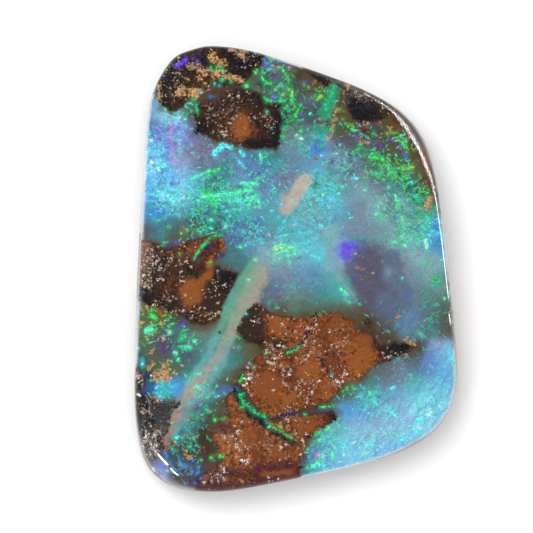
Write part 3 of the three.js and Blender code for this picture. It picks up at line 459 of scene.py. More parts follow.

# Crisp patches of matrix and mineral, in the ironstone and in the opal. The white specks are partly painted
# glints, and the black dots at the named pits are painted shade in those pits.
PATCHES = {
    "tan": [
        (0.4, -5.6, 14.45), (0.5, -5.6, 14.2, -4.8, 13.7), (0.4, -6.4, 12.8),
        (0.5, -6.2, 13.2, -4.8, 13.1), (0.4, -4.6, 13, -3.7, 12.65), (0.7, -7.6, 11.9, -6.6, 11.75),
        (0.2, -5.6, 12.7), (0.2, -7.2, 12.8), (0.4, -4, 14.5, -3.5, 14.3), (0.2, -6.1, 12.4, -5.9, 12.1),
        (0.2, 2.75, 10.9, 2.6, 10), (0.18, 2.6, 10, 2.45, 9.4), (0.18, 2.35, 9, 2.1, 8.6),
        (0.2, 3.55, 12.5, 3.35, 12.1), (0.2, 3.2, 11.9), (0.22, 5.65, 9.7), (0.2, 5.65, 9),
        (0.25, 6.35, 9.4), (0.35, 8.95, 4.7, 8.85, 4.2), (0.2, 8.5, 4.1), (0.16, 8.2, 3.1),
        (0.16, 6.95, -3.1), (0.16, 6.8, -3.3), (0.16, 7.2, -3), (0.12, 8.7, -3.4),
        (0.3, 7.45, -4.8, 7.95, -5.05), (0.16, 7.4, -5.8), (0.3, -10.35, -2.55), (0.3, -10.05, -2.5),
        (0.2, -9.4, -2.2), (0.3, -10.4, -3.7), (0.3, -9.7, -3.65), (0.25, -8.95, -3.55), (0.2, -8.8, -3),
        (0.3, -9.65, -4.4), (0.3, -9.1, -4.45), (0.28, -8.8, -4.6), (0.25, -9.75, -5.6),
        (0.75, -9.2, -7.2, -8.75, -7.15), (0.3, -8.75, -6.3, -8.6, -6.7), (0.35, -9.8, -6.6),
        (0.2, -9.5, -6.4), (0.25, -8.1, -6.95), (0.16, -7.7, -6.4), (0.3, -9.4, -10.75),
        (0.2, -9.5, -8.6, -9.2, -8.8), (0.25, -7.4, -12.3), (0.2, -7.15, -12.7), (0.18, -8.2, -11.7),
        (0.16, -7.3, -11.15), (0.12, -4.5, 0.15), (0.14, -2, -4.9), (0.2, -1.8, -5.5),
        (0.16, -3.95, -4.2), (0.16, 2.55, -10.6), (0.12, -5.65, -9.5), (0.16, -7.25, -10.1),
        (0.15, 0.6, -11.95), (0.2, -5.5, -3.15), (0.2, -5.9, -3.1), (0.12, 9.35, 5.5), (0.1, -1.7, -6.6),
        (0.12, 8.75, 5.65),
    ],
    "sand": [
        (0.5, -7, 13.65, -6.5, 13.5), (0.3, -9.15, 12.2, -9.1, 11.4), (0.4, -4.3, 14.65, -3.4, 14.55),
        (0.2, -3.9, 14.1), (0.25, -9.2, 12.2), (0.2, -7.9, 13.1), (0.2, 1.6, 10, 1.9, 9.95),
        (0.16, -8.3, 13.6), (0.14, -7.6, 1.7), (0.14, -7.2, 1.3), (0.2, -9.7, -5.4), (0.2, -8.5, -4.2),
        (0.12, 8.5, -2.9), (0.12, 4.2, 2.3), (0.12, 4, 2.35), (0.12, 7.4, -0.5), (0.1, 7.8, -0.35),
        (0.1, 8.1, 1.05), (0.1, 5.2, -0.25), (0.12, -6.8, -11.3), (0.12, -6.6, -12.25), (0.1, -4.1, -5.2),
        (0.14, -10.2, -3.3), (0.16, -10.55, -4.3), (0.1, -7.1, -6.1), (0.14, 2, 9.8), (0.14, 1.5, 9.9),
        (0.2, -3.6, -14.2), (0.14, -2.9, -13.9), (0.1, 8.6, 2.05), (0.1, 9.3, 2.05), (0.1, 8.9, 0.2),
    ],
    "cream": [
        (0.2, -10.25, -9.6), (0.12, -9.5, 1.3), (0.14, -9.95, 1.2), (0.12, -8.25, 0.7),
        (0.12, -7.65, 0.25), (0.14, -7.4, 0.45), (0.14, -9.2, -0.7, -8.8, -0.65),
        (0.14, -7.7, -0.75, -7.5, -0.75), (0.1, -7.8, -0.3), (0.1, -9.5, 0.8),
        (0.14, -1.9, -6.2, -1.6, -6.3), (0.1, -1.5, -6.05, -1, -5.85), (0.12, -5.3, -0.2),
        (0.14, -1.5, 13.6), (0.1, -5.75, -3.3), (0.12, 7.4, -7.45), (0.08, -5.4, -2.95, -5.15, -2.9),
        (0.16, -8.6, -13.55), (0.1, -6.1, -14.3), (0.16, -9.95, -0.9, -9.8, -1.2), (0.1, 4, 1),
        (0.1, 4.4, 0.85),
    ],
    # white: specks of grit in the ironstone, and painted glints of its polish
    "white": [
        (0.14, 1.05, -4), (0.12, 0.75, -3.85), (0.12, 1.35, -3.75), (0.14, 0.6, -4.9), (0.1, 0.45, -5.15),
        (0.12, 1.05, -5.7), (0.1, 1.55, -5.75), (0.14, -0.4, -7.1), (0.1, -0.35, -6.8),
        (0.18, 2.5, -7.5, 3.1, -7.45), (0.16, 3.4, -7.05), (0.1, 2.85, -6.7), (0.12, 0.4, -8.15),
        (0.14, 1.05, -8.3), (0.14, -3.3, -7.35, -3, -7.4), (0.12, -3.5, -7.7), (0.1, -0.95, -3.75),
        (0.12, -0.7, -4.35), (0.12, -1.1, -5.2), (0.08, 2.3, -4.2), (0.08, 3.6, -4.9), (0.1, -2.6, -3.4),
        (0.08, -3, -3.4), (0.16, -4, -11.9), (0.12, -3.95, -10.8), (0.12, -3.6, -12.75),
        (0.1, -3.3, -12.85), (0.12, -4.8, -13.4), (0.14, -4.85, -13.6), (0.1, -0.95, -11.9),
        (0.1, -0.6, -11.7), (0.1, -0.5, -10.1), (0.1, 0.75, -11), (0.16, 0.4, -11.5), (0.12, 0.3, -12.4),
        (0.12, -4.8, -14.1), (0.1, -1.8, -14), (0.1, -1.7, -14.25), (0.08, 3.25, 11.9), (0.08, 4.35, 9),
        (0.08, 4.75, 8.45), (0.12, -4.8, -1.1), (0.1, -5.2, -0.85), (0.1, -5.2, -2.3), (0.2, -10.6, -7.2),
        (0.2, -10.5, -8.5), (0.1, -9.8, -12.5), (0.12, -10.25, -11.7), (0.12, -10.1, -11.3),
        (0.2, -8.6, -13.5), (0.06, -9.65, -2.4), (0.1, -7.1, -4.9), (0.08, -10.3, -7.5),
        (0.14, -9.1, -11), (0.1, -9.8, -10.4), (0.1, 1.5, -7.5), (0.08, 1.15, -7.75), (0.08, -1.5, -8.1),
        (0.08, 1.5, 9.7), (0.08, 1.75, 9.85), (0.08, 2.05, 9.95), (0.08, 2.15, 9.65), (0.08, 1.85, 9.6),
        (0.06, 1.4, 9.95),
    ],
    "amber": [
        (0.16, 1.2, 12.55), (0.14, 1.8, 12.15), (0.14, 3.3, 10.6), (0.25, -4.95, 1.9, -4.85, 1.45),
        (0.22, -4.85, 1.4, -5.85, 0.45), (0.16, -5.9, 0.5, -5.6, 0.1), (0.2, -6.15, -11.95),
        (0.3, -9.3, -2.85, -8.9, -2.95), (0.2, -8.1, -2.95),
    ],
    "orange": [
        (0.18, -1.1, 13.6), (0.12, -2.5, 12.2), (0.16, -5.2, 11.8), (0.16, -4.65, 12),
        (0.1, -5.75, 12.05), (0.12, -5.4, 7.5), (0.18, -7.65, -13.15), (0.1, 4.55, 11.6),
        (0.16, -3.95, -4.1, -4, -4.3), (0.1, -5.1, -5.8), (0.14, -4.3, -7.4, -3.9, -7.5),
    ],
    "salmon": [
        (0.07, 3.9, 0.15, 4.75, -0.1), (0.04, 4.5, -0.65), (0.1, -1.7, 8.4), (0.16, 6.5, -5.45),
        (0.1, 1.15, -12.1), (0.1, 1.25, -11.45), (0.16, 4.2, 9.5, 4.9, 9.8), (0.14, 4.3, 8.6, 4.8, 8.4),
        (0.08, 3.7, 1), (0.12, 1.2, 7.45, 1.5, 7.3),
    ],
    "maroon": [
        (0.5, 4.6, 9.3), (0.4, 4.9, 9.1), (0.3, -5.6, 1.15, -5.3, 1.45), (0.3, -9.6, -2.1),
        (0.35, -5, -10.7), (0.3, -4.7, -13.65, -3.7, -13.75), (0.3, -2.5, -13.3, -1.4, -13.4),
        (0.25, -1.4, -13.35, 0, -13.1), (0.2, 5.4, -4.9),
    ],
    # black: dark matrix, and small dots of painted shade in the named pits
    "black": [
        (0.12, -1.3, 8.9, -1.15, 10.2), (0.2, -3.3, 8.4, -1.6, 8.2), (0.14, -1.6, 9.4), (0.5, -3.9, 13.8),
        (0.4, -3, 13.9), (0.4, -8.5, 13, -8.3, 12.4), (0.14, -5.3, -0.35), (0.14, -5.2, -2.4),
        (0.18, -5.7, -3.1), (0.5, -4.6, -0.6), (0.9, 3.9, 11.1, 4.6, 10.5), (0.6, 4.9, 10.4, 5.5, 10.2),
        (0.9, -9.1, -9.5, -9, -10.3), (0.2, -8.2, -8.95, -7.8, -8.95), (0.3, 5.8, -5.5, 6.1, -5.7),
        (0.35, 7, -5.1, 7.5, -5.1), (0.4, 6.4, -5.4, 6.9, -5.3), (0.1, 6.5, -5.6), (0.16, -4, -12.15),
        (0.12, -3.7, -12.9), (0.14, 1.05, -8.45), (0.2, -4.95, -14.4), (0.1, -0.35, -6.95),
        (0.14, 2.55, -5.75), (0.25, 2.55, -10), (0.3, 0.85, -11.25), (0.14, -5.1, -4.2),
        (0.2, -8.9, -11.3), (0.2, -8.9, -11.8), (0.2, -10.2, -7.5), (0.1, -2.2, -4.9), (0.2, -9.5, -1.1),
        (0.2, 1.5, 12.6), (0.14, 2.05, 12.3), (0.16, -1, -12.9), (0.4, -10.2, -9.1), (0.3, -9.9, -12.7),
        (0.3, 4.8, -3.6), (0.14, 10.4, -3.8), (0.2, 0.3, -13.3), (0.2, 1.45, -2.95, 1.05, -3.85),
        (0.2, 0.9, -4.2, 0.5, -5), (0.2, 0.4, -5.1, -0.7, -5.7), (0.18, 1.5, -5.75, 2.35, -7),
    ],
    "navy": [
        (0.16, -1.1, -9.88, 0.2, -9.65), (0.12, 0.65, -4.3, 0.55, -4.7), (0.08, 1.6, -5.85, 2.1, -6.2),
        (0.08, 2.1, -6.2, 2.25, -6.7), (0.2, -6.85, 0.35, -6.3, 1.1), (0.2, -6.3, 1.1, -5.6, 1.75),
        (0.14, -5.2, 0.7, -4.75, 1.1),
    ],
    "charcoal": [(0.45, 1.6, 9.85, 2.1, 9.75)],
    "ink": [
        (0.25, -3.6, -7, -3.9, -7.6), (0.14, -3.1, -6.6, -3.5, -7.1), (0.6, -6.1, 13.95),
        (0.42, -4.1, -8.2, -3.6, -8.95, -2.9, -9.75, -2.1, -10.4),
        (0.32, -2, -10.45, -1.2, -11.05, -0.2, -11.5),
    ],
    "purple": [(0.3, -6.4, 14.5), (0.25, -6.85, 14.2), (0.16, -8.3, 1.6)],
}

# Flashes of fire
FLASHES = {
    "emerald": [
        (0.3, -5.7, 13.5), (0.25, -5.25, 13.55), (0.25, -4.85, 13.4), (0.3, -4.9, 12.7),
        (0.2, -5.5, 12.4), (0.2, -4.3, 12.5), (0.25, -6.9, 11.35), (0.14, -6.7, 11, -6.65, 10.5),
        (0.3, -0.75, 9.5), (0.3, -0.85, 8.8), (0.16, -2.1, 11.5, -2, 11.25),
        (0.16, -2, 11.25, -1.6, 11.2), (0.2, 0.25, 11.05), (0.2, 1.75, 8.3), (0.2, 4.15, 7.95),
        (0.2, 4.7, 7.95), (0.16, 4.6, 7.6), (0.2, -8.5, 2.8), (0.2, -9.5, 3.4), (0.16, 0.9, 4.15),
        (0.3, -7.75, -4.8, -7.5, -4.4), (0.2, -7, -4.7), (0.2, -7.55, -5.3), (0.22, -5.95, -9.35),
        (0.25, -7.1, -11.95), (0.16, -3.75, -8.4, -3.4, -9.05), (0.2, -3.35, -9.1, -2.75, -9.5),
        (0.16, -2.7, -9.5, -2.2, -9.8), (0.12, -1.9, -10.3, -1.2, -10.75),
        (0.1, -1.1, -10.8, -0.3, -11.3), (0.16, 0.6, -9.7), (0.14, 2.5, 12, 2.3, 11.6),
        (0.16, 2.1, 11.3, 1.95, 10.9), (0.12, -0.95, 10.6, -0.8, 10.2), (0.14, -6.75, 0.6, -6.4, 1.25),
        (0.12, -6.3, 1.5, -5.7, 2), (0.12, -5.6, 2.1, -5, 2.15), (0.1, -0.55, -5.6, 0, -5.4),
        (0.08, 0, -5.4, 0.3, -5.2), (0.2, 9.1, -3.4), (0.16, 9, -3.8), (0.3, 9.3, -0.7), (0.3, 9.6, -0.9),
        (0.2, 9.2, -1.1), (0.2, -9.7, -7.5), (0.16, -1.7, -2.3), (0.14, -1.3, -2.6), (0.16, -5.7, 0.4),
        (0.2, -6.65, -9.9), (0.2, 8.3, 3.95), (0.2, 7.9, 4.6), (0.3, 8.2, 4.7), (0.2, 4.3, -2.3),
        (0.12, 1.1, 11.5), (0.14, 2.4, 11.9), (0.2, 2.6, 12.2), (0.14, 2.2, 11.2), (0.16, 2.1, 10.7),
        (0.2, -9.7, 4.2), (0.12, 1.6, -3), (0.18, 9.3, 4.1),
    ],
    "green": [
        (0.16, -8.57, 13.7), (0.26, -3.35, 12.35), (0.3, -2.65, 13.15), (0.16, -1.6, 14.1),
        (0.16, -1.5, 13.35), (0.16, -2.2, 12.8, -2, 12.55), (0.16, -2, 12.55, -1.6, 12.4),
        (0.16, -0.9, 13.4, -0.4, 12.7), (0.25, -0.95, 11.25), (0.25, -0.3, 11.3), (0.2, -0.6, 10.75),
        (0.14, 0.1, 10.7, -0.05, 10.2), (0.2, 0.35, 9.25), (0.14, 0.6, 12.45), (0.12, 0.9, 12.15),
        (0.3, -5.75, 4.9), (0.16, -5.8, 5, -6.4, 5.25), (0.14, -5.7, 4.7, -5.2, 4.4),
        (0.14, -5.5, 4.3, -5.45, 3.8), (0.12, -6.1, 4.05, -6.8, 3.9), (0.12, -4.2, 5.1, -3.1, 5.2),
        (0.16, -5.2, 6.7, -5.9, 6.2), (0.2, -5.1, 6.7), (0.12, -9.15, 3.25), (0.14, -8.7, 3.55),
        (0.14, -3.05, 3.45), (0.12, -2.9, 2.95), (0.14, -8.85, 1.6), (0.12, -7.75, 0.9), (0.12, 3, 10.7),
        (0.12, 3.2, 10.1), (0.12, 3.55, 9.55), (0.16, 3.8, 9.3), (0.1, 6.1, 9.15, 6.8, 9.1),
        (0.2, 5.15, 9.1), (0.16, 4.35, 8.3), (0.16, 4.9, 7.45, 5.9, 7.45), (0.2, 5.3, 7.55),
        (0.22, 5.6, 7), (0.16, 5.75, 6.45), (0.16, 5.55, 6.15), (0.2, 6.25, 6.4), (0.16, 6.55, 5.7),
        (0.2, 7.25, 5.4), (0.3, -9.7, -3.1, -9.5, -3.3), (0.16, -9.7, -2.8), (0.2, -6.45, -12.8),
        (0.2, -5.65, -12.65), (0.16, -5.2, -12.5, -4.85, -12.6), (0.16, -4.8, -10.05),
        (0.2, -5.35, -10.1), (0.18, -3.55, -8.4), (0.16, -3.6, -9.2), (0.14, -2.1, -9.75, -1.95, -10),
        (0.2, 3.85, -7.95), (0.16, 3.4, -7.95), (0.12, 3.1, -8.2), (0.16, 2.45, -9.1),
        (0.1, 1.65, -9.2, 2.3, -9.15), (0.2, 2.2, -10.8), (0.16, 1.65, -11), (0.16, 1.35, -11),
        (0.16, 1.15, -11.65), (0.2, 0.8, -13.3), (0.14, 0.85, -12.1), (0.16, -2, -5.65), (0.2, 5.6, 3.65),
        (0.14, 6.9, 2.9), (0.16, 8.8, 3.6), (0.14, 6.9, 2), (0.16, 8.8, 0.5), (0.2, -6.7, -8.4),
        (0.14, -3.7, -4.5), (0.14, -8.5, -3.2), (0.14, 7.4, 8.65, 7.4, 8.2), (0.16, -6.9, -11.3),
        (0.12, -3.5, -7.1, -3.8, -7.5),
    ],
    "lime": [
        (0.2, -0.5, 12), (0.14, -0.25, 11.9, -0.25, 11.5), (0.16, -0.85, 11.7), (0.2, -1.3, 12),
        (0.12, -1.7, 11.75), (0.14, 1.45, 11.35, 1.7, 11.6), (0.2, 6.2, 7.2), (0.2, 6.25, 6.75),
        (0.14, 7.3, 6.7, 7.85, 6.8), (0.16, 6.7, 6.25), (0.16, -7.3, 2.55), (0.12, -7.65, 2.35),
        (0.16, -9.65, -2.7), (0.14, -5.05, -12.6), (0.12, 7.4, 8.7), (0.12, -1.05, -10.55),
        (0.1, 0.65, -9.72),
    ],
    "yellow_green": [(0.16, -1.35, 1.3, -0.8, 1.4), (0.12, -0.8, 1.4, -0.3, 1.45), (0.16, -10, -4.6)],
    "mint": [
        (0.2, -6.3, 4.85, -4.6, 5, -3, 5.2), (0.12, -5.4, 4.6, -4.4, 4.65), (0.1, -7.2, 4.4, -6.2, 4.7),
        (0.14, -6.9, 6.1, -5.7, 6.6), (0.14, -1.5, 1.35, -0.8, 1.7), (0.14, -0.8, 1.7, 0, 1.4),
        (0.12, -1.3, 1.05, -0.5, 1.2), (0.12, -0.5, 1.2, 0.1, 1.15), (0.12, -1.3, 0.65, -0.6, 0.9),
        (0.12, -0.6, 0.9, -0.1, 0.95), (0.1, -0.5, 0.8, -0.45, 0.2), (0.14, -1.9, 10.55),
        (0.2, -8.7, 10.65), (0.2, -7.4, 10.05), (0.14, -2.35, 7.8, -2.3, 7.3), (0.2, 0.95, 10.4),
        (0.2, -3.6, 5.7, -2.55, 5.65), (0.16, -4.3, 4.4, -3.2, 4.7), (0.18, -3.15, 4.7, -2.5, 4.75),
        (0.16, -2.5, 4.75, -2.35, 4.15), (0.12, -3.1, 4.6, -3.1, 4.1), (0.2, -5.6, 3.3), (0.2, -5.7, 2.7),
        (0.2, -6.3, 2.55), (0.16, -3.75, 1.45), (0.12, -3.35, 1.6), (0.16, 2.9, 5.65), (0.12, 3.1, 5.55),
        (0.16, 4.6, 5.35), (0.16, 6.6, 4.9, 6.85, 4.45), (0.2, 5.45, 3.7), (0.14, 5.5, 4.2),
        (0.2, 7.1, 3.4), (0.14, 8.4, 3.3), (0.2, 8.7, 2.7), (0.16, 8.5, 2.9),
        (0.14, 6.4, 1.9, 6.75, 1.75), (0.3, 7.2, 1.6), (0.14, 3, -1.3, 3.3, -1.7),
        (0.1, 3.3, -2, 3.6, -2.2), (0.5, -9.95, -4.2, -9.8, -4.1), (0.14, -6.8, -7, -6.4, -7),
        (0.16, -6.75, -7.9, -6.5, -8), (0.16, -5.45, -8.15), (0.2, -8.45, -4.2), (0.3, -8.05, -5.6),
        (0.25, -7.9, -6), (0.2, -8.4, -6.1), (0.22, -7, -5.25), (0.16, -6.75, -4.85), (0.12, -2.4, -9.65),
        (0.14, -1.75, -10.6), (0.14, 2.4, -12.2, 2.45, -12.7), (0.2, 2.65, -11.45), (0.2, 5, -8.45),
        (0.16, 5.3, -8.2), (0.14, 5.2, -9), (0.12, 4.35, -8.5), (0.16, 2.85, -10.6), (0.14, 3.3, -10.6),
        (0.12, 8.2, -4.2, 8.5, -4.5), (0.16, -5.3, -6.6), (0.14, -2.8, -6.6), (0.14, -3.05, -6.4),
        (0.14, 1.55, -11.5), (0.3, 1.5, -13, 1.1, -13.2), (0.16, -2.3, 1.75), (0.2, 9, 3.1),
        (0.12, 2.75, 5.1), (0.16, 10, -2),
    ],
    "pale_mint": [
        (0.2, -7.8, 10.3), (0.2, -4.65, 2.8), (0.14, 0.05, 8.9, 0.4, 8.65), (0.2, -2.65, 13.1),
        (0.12, 6.8, 4.55), (0.12, -2.7, 4.15), (0.2, 8.65, 1.9, 8.85, 1.4), (0.16, 7.3, 1.5),
        (0.16, 2.15, -10.7), (0.16, -9.75, -4.15), (0.14, 3.9, -8), (0.12, 5.6, -9.3),
        (0.14, -6.7, -7.85, -6.55, -7.95),
    ],
    "cyan": [
        (0.14, -3.8, 7.2, -3.5, 6.85), (0.4, -5.4, 7.75, -4.9, 8.2), (0.25, -4.8, 8.2, -4.3, 8.1),
        (0.16, -3.7, 7.95, -3.5, 7.6), (0.3, -9.9, 9.1), (0.12, -6.3, 11.9), (0.12, -5.1, 12.3),
        (0.2, -9.8, 8), (0.3, -8.7, 7), (0.14, -9.6, 5, -8.4, 4.9), (0.12, -8.8, 5.35, -8.3, 5.35),
        (0.14, -8.2, 4.7, -7.2, 4.8), (0.14, -7.35, 5.8, -6.9, 5.3), (0.16, -5, 5, -4.3, 5.05),
        (0.1, -4.35, 4.35, -3.75, 4.45), (0.1, -3.75, 4.45, -3.4, 4.15), (0.1, -3.7, 3.95, -3.4, 4),
        (0.1, -3.2, 4.65, -2.55, 4.7), (0.14, -5.15, 4.35), (0.14, -4.9, 4.1), (0.12, -4.65, 3.85),
        (0.14, -4.4, 3.55), (0.16, -7.8, 3.55), (0.12, -3.75, 3.3), (0.16, -1.6, 3.85),
        (0.14, -1.15, 4.6), (0.12, -0.9, 4.35), (0.12, -1.15, 3.45), (0.12, -0.75, 3), (0.14, -1.1, 2.65),
        (0.16, 1.55, 4.75), (0.12, 1.65, 4.35), (0.16, 2.3, 3.5), (0.25, 1.7, 2.85), (0.16, 2.65, 7.75),
        (0.14, 1.65, 7.55), (0.1, 0.5, 1.25, 1.05, 1.05), (0.1, 1.05, 1.05, 1.6, 0.6), (0.16, 7.8, 5.8),
        (0.16, 6.15, 5.5), (0.12, 3.9, 7.4), (0.14, 3.3, 7.2), (0.16, 9.45, 3.35), (0.14, 9.7, 0.7),
        (0.14, 6.2, -0.2), (0.14, 7.1, -0.65), (0.2, 6.2, -9.5, 6.6, -9.8), (0.12, 6.2, -9.5, 6.5, -9.35),
        (0.25, 5.3, -9.1), (0.2, 5.8, -9.95), (0.12, 5.2, -8.7, 5.3, -8.95), (0.3, -7.95, -11.35),
        (0.2, -7.6, -11.3), (0.16, -10.6, -5.3), (0.12, -9.3, -7.95, -8.8, -7.8),
        (0.14, -9.3, -8.3, -9.2, -8.5), (0.14, -8.3, -7.8), (0.1, -5.35, -8.45, -4.75, -8.35),
        (0.14, -3.75, -5.2), (0.1, -3.3, -3), (0.2, 1.05, -13.7), (0.25, 1.9, -13.1), (0.3, 2, -13.3),
        (0.14, 1.5, -11.4, 1.8, -11.3), (0.3, 6.5, -7.95), (0.2, 10.4, -5.7, 10.6, -6.4),
        (0.3, 9.3, -8.85), (0.3, 8.1, -10.9), (0.4, 8.4, -10.2), (0.3, 9.4, -9.8), (0.3, 7.3, -11.4),
        (0.2, 7.5, -8.5), (0.2, -10.3, -6.3), (0.14, 2.45, -7.05), (0.12, 7.45, 7.9), (0.12, 5, 7.6),
        (0.12, 3.7, 6.1, 4.1, 6.1), (0.14, -5.5, 12.35), (0.3, 3.2, -11.9), (0.3, 4.9, -11.8),
        (0.2, 9.1, 2.4), (0.2, 8.9, 2.2),
    ],
    "ice": [
        (0.25, -9.6, 7.1), (0.2, -9.9, 7.9), (0.2, -9.2, 6.7), (0.2, -9.7, 8.6),
        (0.12, -9, 4.95, -8.5, 4.95), (0.1, -7.4, 5.85), (0.14, -2.7, 0.6), (0.1, -1.4, 0.95),
        (0.08, -1.85, 2.25), (0.16, 1.85, 4.9), (0.12, 4, 6.1), (0.3, 9, -9.7),
        (0.14, -9.65, -13.4, -9.5, -13.6), (0.2, 8.3, -10.6), (0.16, 9.7, -9.2), (0.16, 6.3, -9.55),
        (0.16, 1.55, -13.25), (0.1, -3.1, -0.7), (0.14, 3.2, -12.4),
    ],
    "azure": [
        (0.08, -5.8, 11.6, -5.5, 11.45), (0.12, -2.05, 14.05, -1.8, 13.5), (0.4, 1.3, 8.1),
        (0.2, 3.65, 1.75), (0.14, 7.4, 7.7, 7.45, 7.45), (0.12, -9.2, 3.8), (0.2, -8.75, -12.3),
        (0.12, -6.5, -13.65), (0.1, -7.3, -14.3), (0.1, -6.8, -14.3), (0.14, -7.4, -13.1),
        (0.12, -7.9, -13.5), (0.12, -6.9, -12.9), (0.1, -7.6, -12.7), (0.1, -6.3, -14),
        (0.14, -8.6, -12.5), (0.2, 9.35, 2.8), (0.12, -10.4, -1.6),
    ],
    "violet": [
        (0.3, -7.95, 13.6, -7.4, 14), (0.2, -1.5, 11.4), (0.14, -1.25, 11.7), (0.22, 6.4, 8.65),
        (0.14, 7.1, 8.1), (0.2, 3.6, 1.45), (0.2, 3.2, 1.15), (0.2, 0.35, 10.4),
        (0.1, -3.95, 6.7, -3.95, 6.4), (0.12, -8.35, 1.55), (0.12, -7.9, 1.8), (0.14, -4.65, 7.65),
        (0.12, -5.1, 0.8), (0.14, -6.3, 4.4), (0.12, -7.4, -3.6, -7.6, -3.75), (0.12, 4.05, 8.8),
        (0.12, 4.15, -0.6), (0.12, 7.4, -1.8), (0.1, 1.15, -12.45), (0.14, -6.6, 13.9),
        (0.14, -6.6, -9.05), (0.2, -9.2, -13.8),
    ],
    "periwinkle": [(0.12, -1.5, 11.45), (0.12, 0.05, 2.95), (0.1, 6.45, 8.7), (0.1, 0.6, 2.6)],
    "pink": [
        (0.12, -0.35, 13.5), (0.12, -7.55, 2.7), (0.08, -0.15, 2.9), (0.12, 9.6, -5.05),
        (0.12, -3.2, -6.65), (0.12, -0.8, 3.7), (0.1, 1.45, -12.4, 1.5, -12.7),
    ],
    "rose": [(0.1, -7.55, 5.3), (0.12, -7.35, 4.9), (0.1, -7.55, 4.65)],
}

# Soft-edged stains in the ironstone
STAINS = {
    "amber": [
        (1.1, -3.65, 9.75, -3.55, 9.3), (1.5, -6.95, -1.35, -6.95, -1.65), (0.9, -7, -1.9, -7.1, -2.1),
        (0.6, -6.2, -0.9, -5.9, -0.3), (0.35, -5.8, 0.2, -5.6, 0.3), (1.2, 4.2, -6.3, 4.4, -5.6),
        (1.4, 0.9, -6.7), (0.6, 5, -5.7), (1.0, -1.2, -3.9), (0.7, -4.4, -11.8), (0.9, -0.4, -8.6),
        (0.7, 2, -8.1),
    ],
    "sienna": [
        (1.9, -1.9, -7.8), (0.8, -1.5, -8.7), (1.2, 2.9, -3.7), (1.2, -3.1, -11.3), (1.0, -1.3, -12.2),
        (1.4, 0.6, -10.4), (1.2, -3, -9.7), (1.0, 4.6, -4.9), (0.5, -2, -13.75, -0.4, -13.6),
        (0.4, -6, -13.9),
    ],
    "black": [
        (0.5, -3.2, 8.4, -1.5, 8.3), (0.4, -1.3, 8.9, -1.2, 10.3), (0.9, -4.6, -0.6), (0.8, -2.6, -4.8),
        (0.3, -3, 10.7, -2.5, 9.6),
    ],
    "umber": [
        (0.3, 2, -5.2, 2.8, -6.6), (0.3, -0.4, -6, -0.3, -7.6), (1.4, -3, -3.3, -2.7, -4.4),
        (0.8, -1.2, -5), (1.6, -5.4, -2.4), (0.9, 5.6, -5), (0.6, -0.6, -13.2),
    ],
    "rust": [
        (0.9, -6.7, 1.3), (0.4, -0.3, -6.3, -0.1, -7.5), (0.3, -0.1, -7.6, -0.5, -8.3),
        (0.8, 1.8, -4, 2.2, -5.2), (0.9, 2.4, -5.6, 2.8, -7), (0.5, -5.5, 1.2),
        (0.5, 0.6, -8.1, 1.6, -8.3), (0.5, 0.2, -5.5, -0.8, -5.9), (0.5, -2.4, -10.9, -2.6, -12.6),
        (0.4, 3.6, -4.6, 4.4, -4.3),
    ],
    "maroon": [
        (0.5, -4.9, -10.6), (0.4, -4.7, -13.6, -3.6, -13.75), (0.4, -2.6, -13.2, -1.2, -13.3),
        (0.35, -1.1, -13.25, 0, -13), (0.4, -2.4, -14.15, -1, -14.05), (0.4, -5.3, -14.5, -3.4, -14.6),
        (0.3, -1, -14, 0, -13.85),
    ],
}

# The colour of the shards of fire in each part of the opal
FIRE_WASHES = {
    "cyan": [
        (2, -9, 5.4), (1.4, -8.8, 8), (2, 1.8, 5), (1.8, -0.6, 3.4), (2, 5.6, -9.2), (2, 8.6, -9),
        (1.2, -8.8, -8.1),
    ],
    "ice": [(1.2, -8.4, 5.1), (1.4, -9.7, 7.2), (1.4, 9, -9.8), (1.6, 6.6, -11.4), (1.4, 3.4, -12)],
    "mint": [
        (1.6, -3.4, 4.8), (1.4, -8, 10.2), (1.4, 6.6, 4.4), (1.6, 8.6, 2.2), (1.2, -6.4, -8),
        (1.4, -7.2, -5.2), (1.4, 2, -11.6), (1.4, 4, 7.4), (1.4, 7.6, 5), (1.2, -2, 12.6), (1.2, 7, 8.2),
        (1.2, -5.6, 5),
    ],
    "green": [
        (0.9, -5.8, 4.6), (1.4, 6.2, 7.2), (1.4, -0.6, 12), (1.4, -8, 3), (1.2, 1.4, 11.6), (1.2, 8, 5.8),
        (1.2, -9.6, -3.2), (1.4, 3.6, 9.6),
    ],
    "turquoise": [
        (1.2, 2, 11, 1.2, 8.6), (1, -1, 12.6), (1.6, -5.5, 3.2), (1.4, -7.2, -10.4), (1.6, 9, -3.6),
        (2, 0.5, -1.4),
    ],
    "emerald": [
        (0.9, 2.4, 11.8, 2, 10.4), (1.2, 0.6, 11.8), (1.2, -3.8, 13), (1.2, -8.2, -6), (1.2, -6.4, -9.6),
        (1.2, 9.4, -0.8), (1.4, 5, 8.4), (1.2, 0.2, 10.2), (1.2, -6.4, -12), (1.4, 8.8, 4.2),
    ],
    "steel": [(1.6, 5, 0.4), (1.4, 6.6, -1.2), (1.2, -6.2, 7.4), (1.2, -6.8, -13), (1.4, 6.4, -7.4)],
    "periwinkle": [(1, -8.4, 9.2), (0.8, 3.6, 1.2), (0.8, -8.9, -5.2)],
}
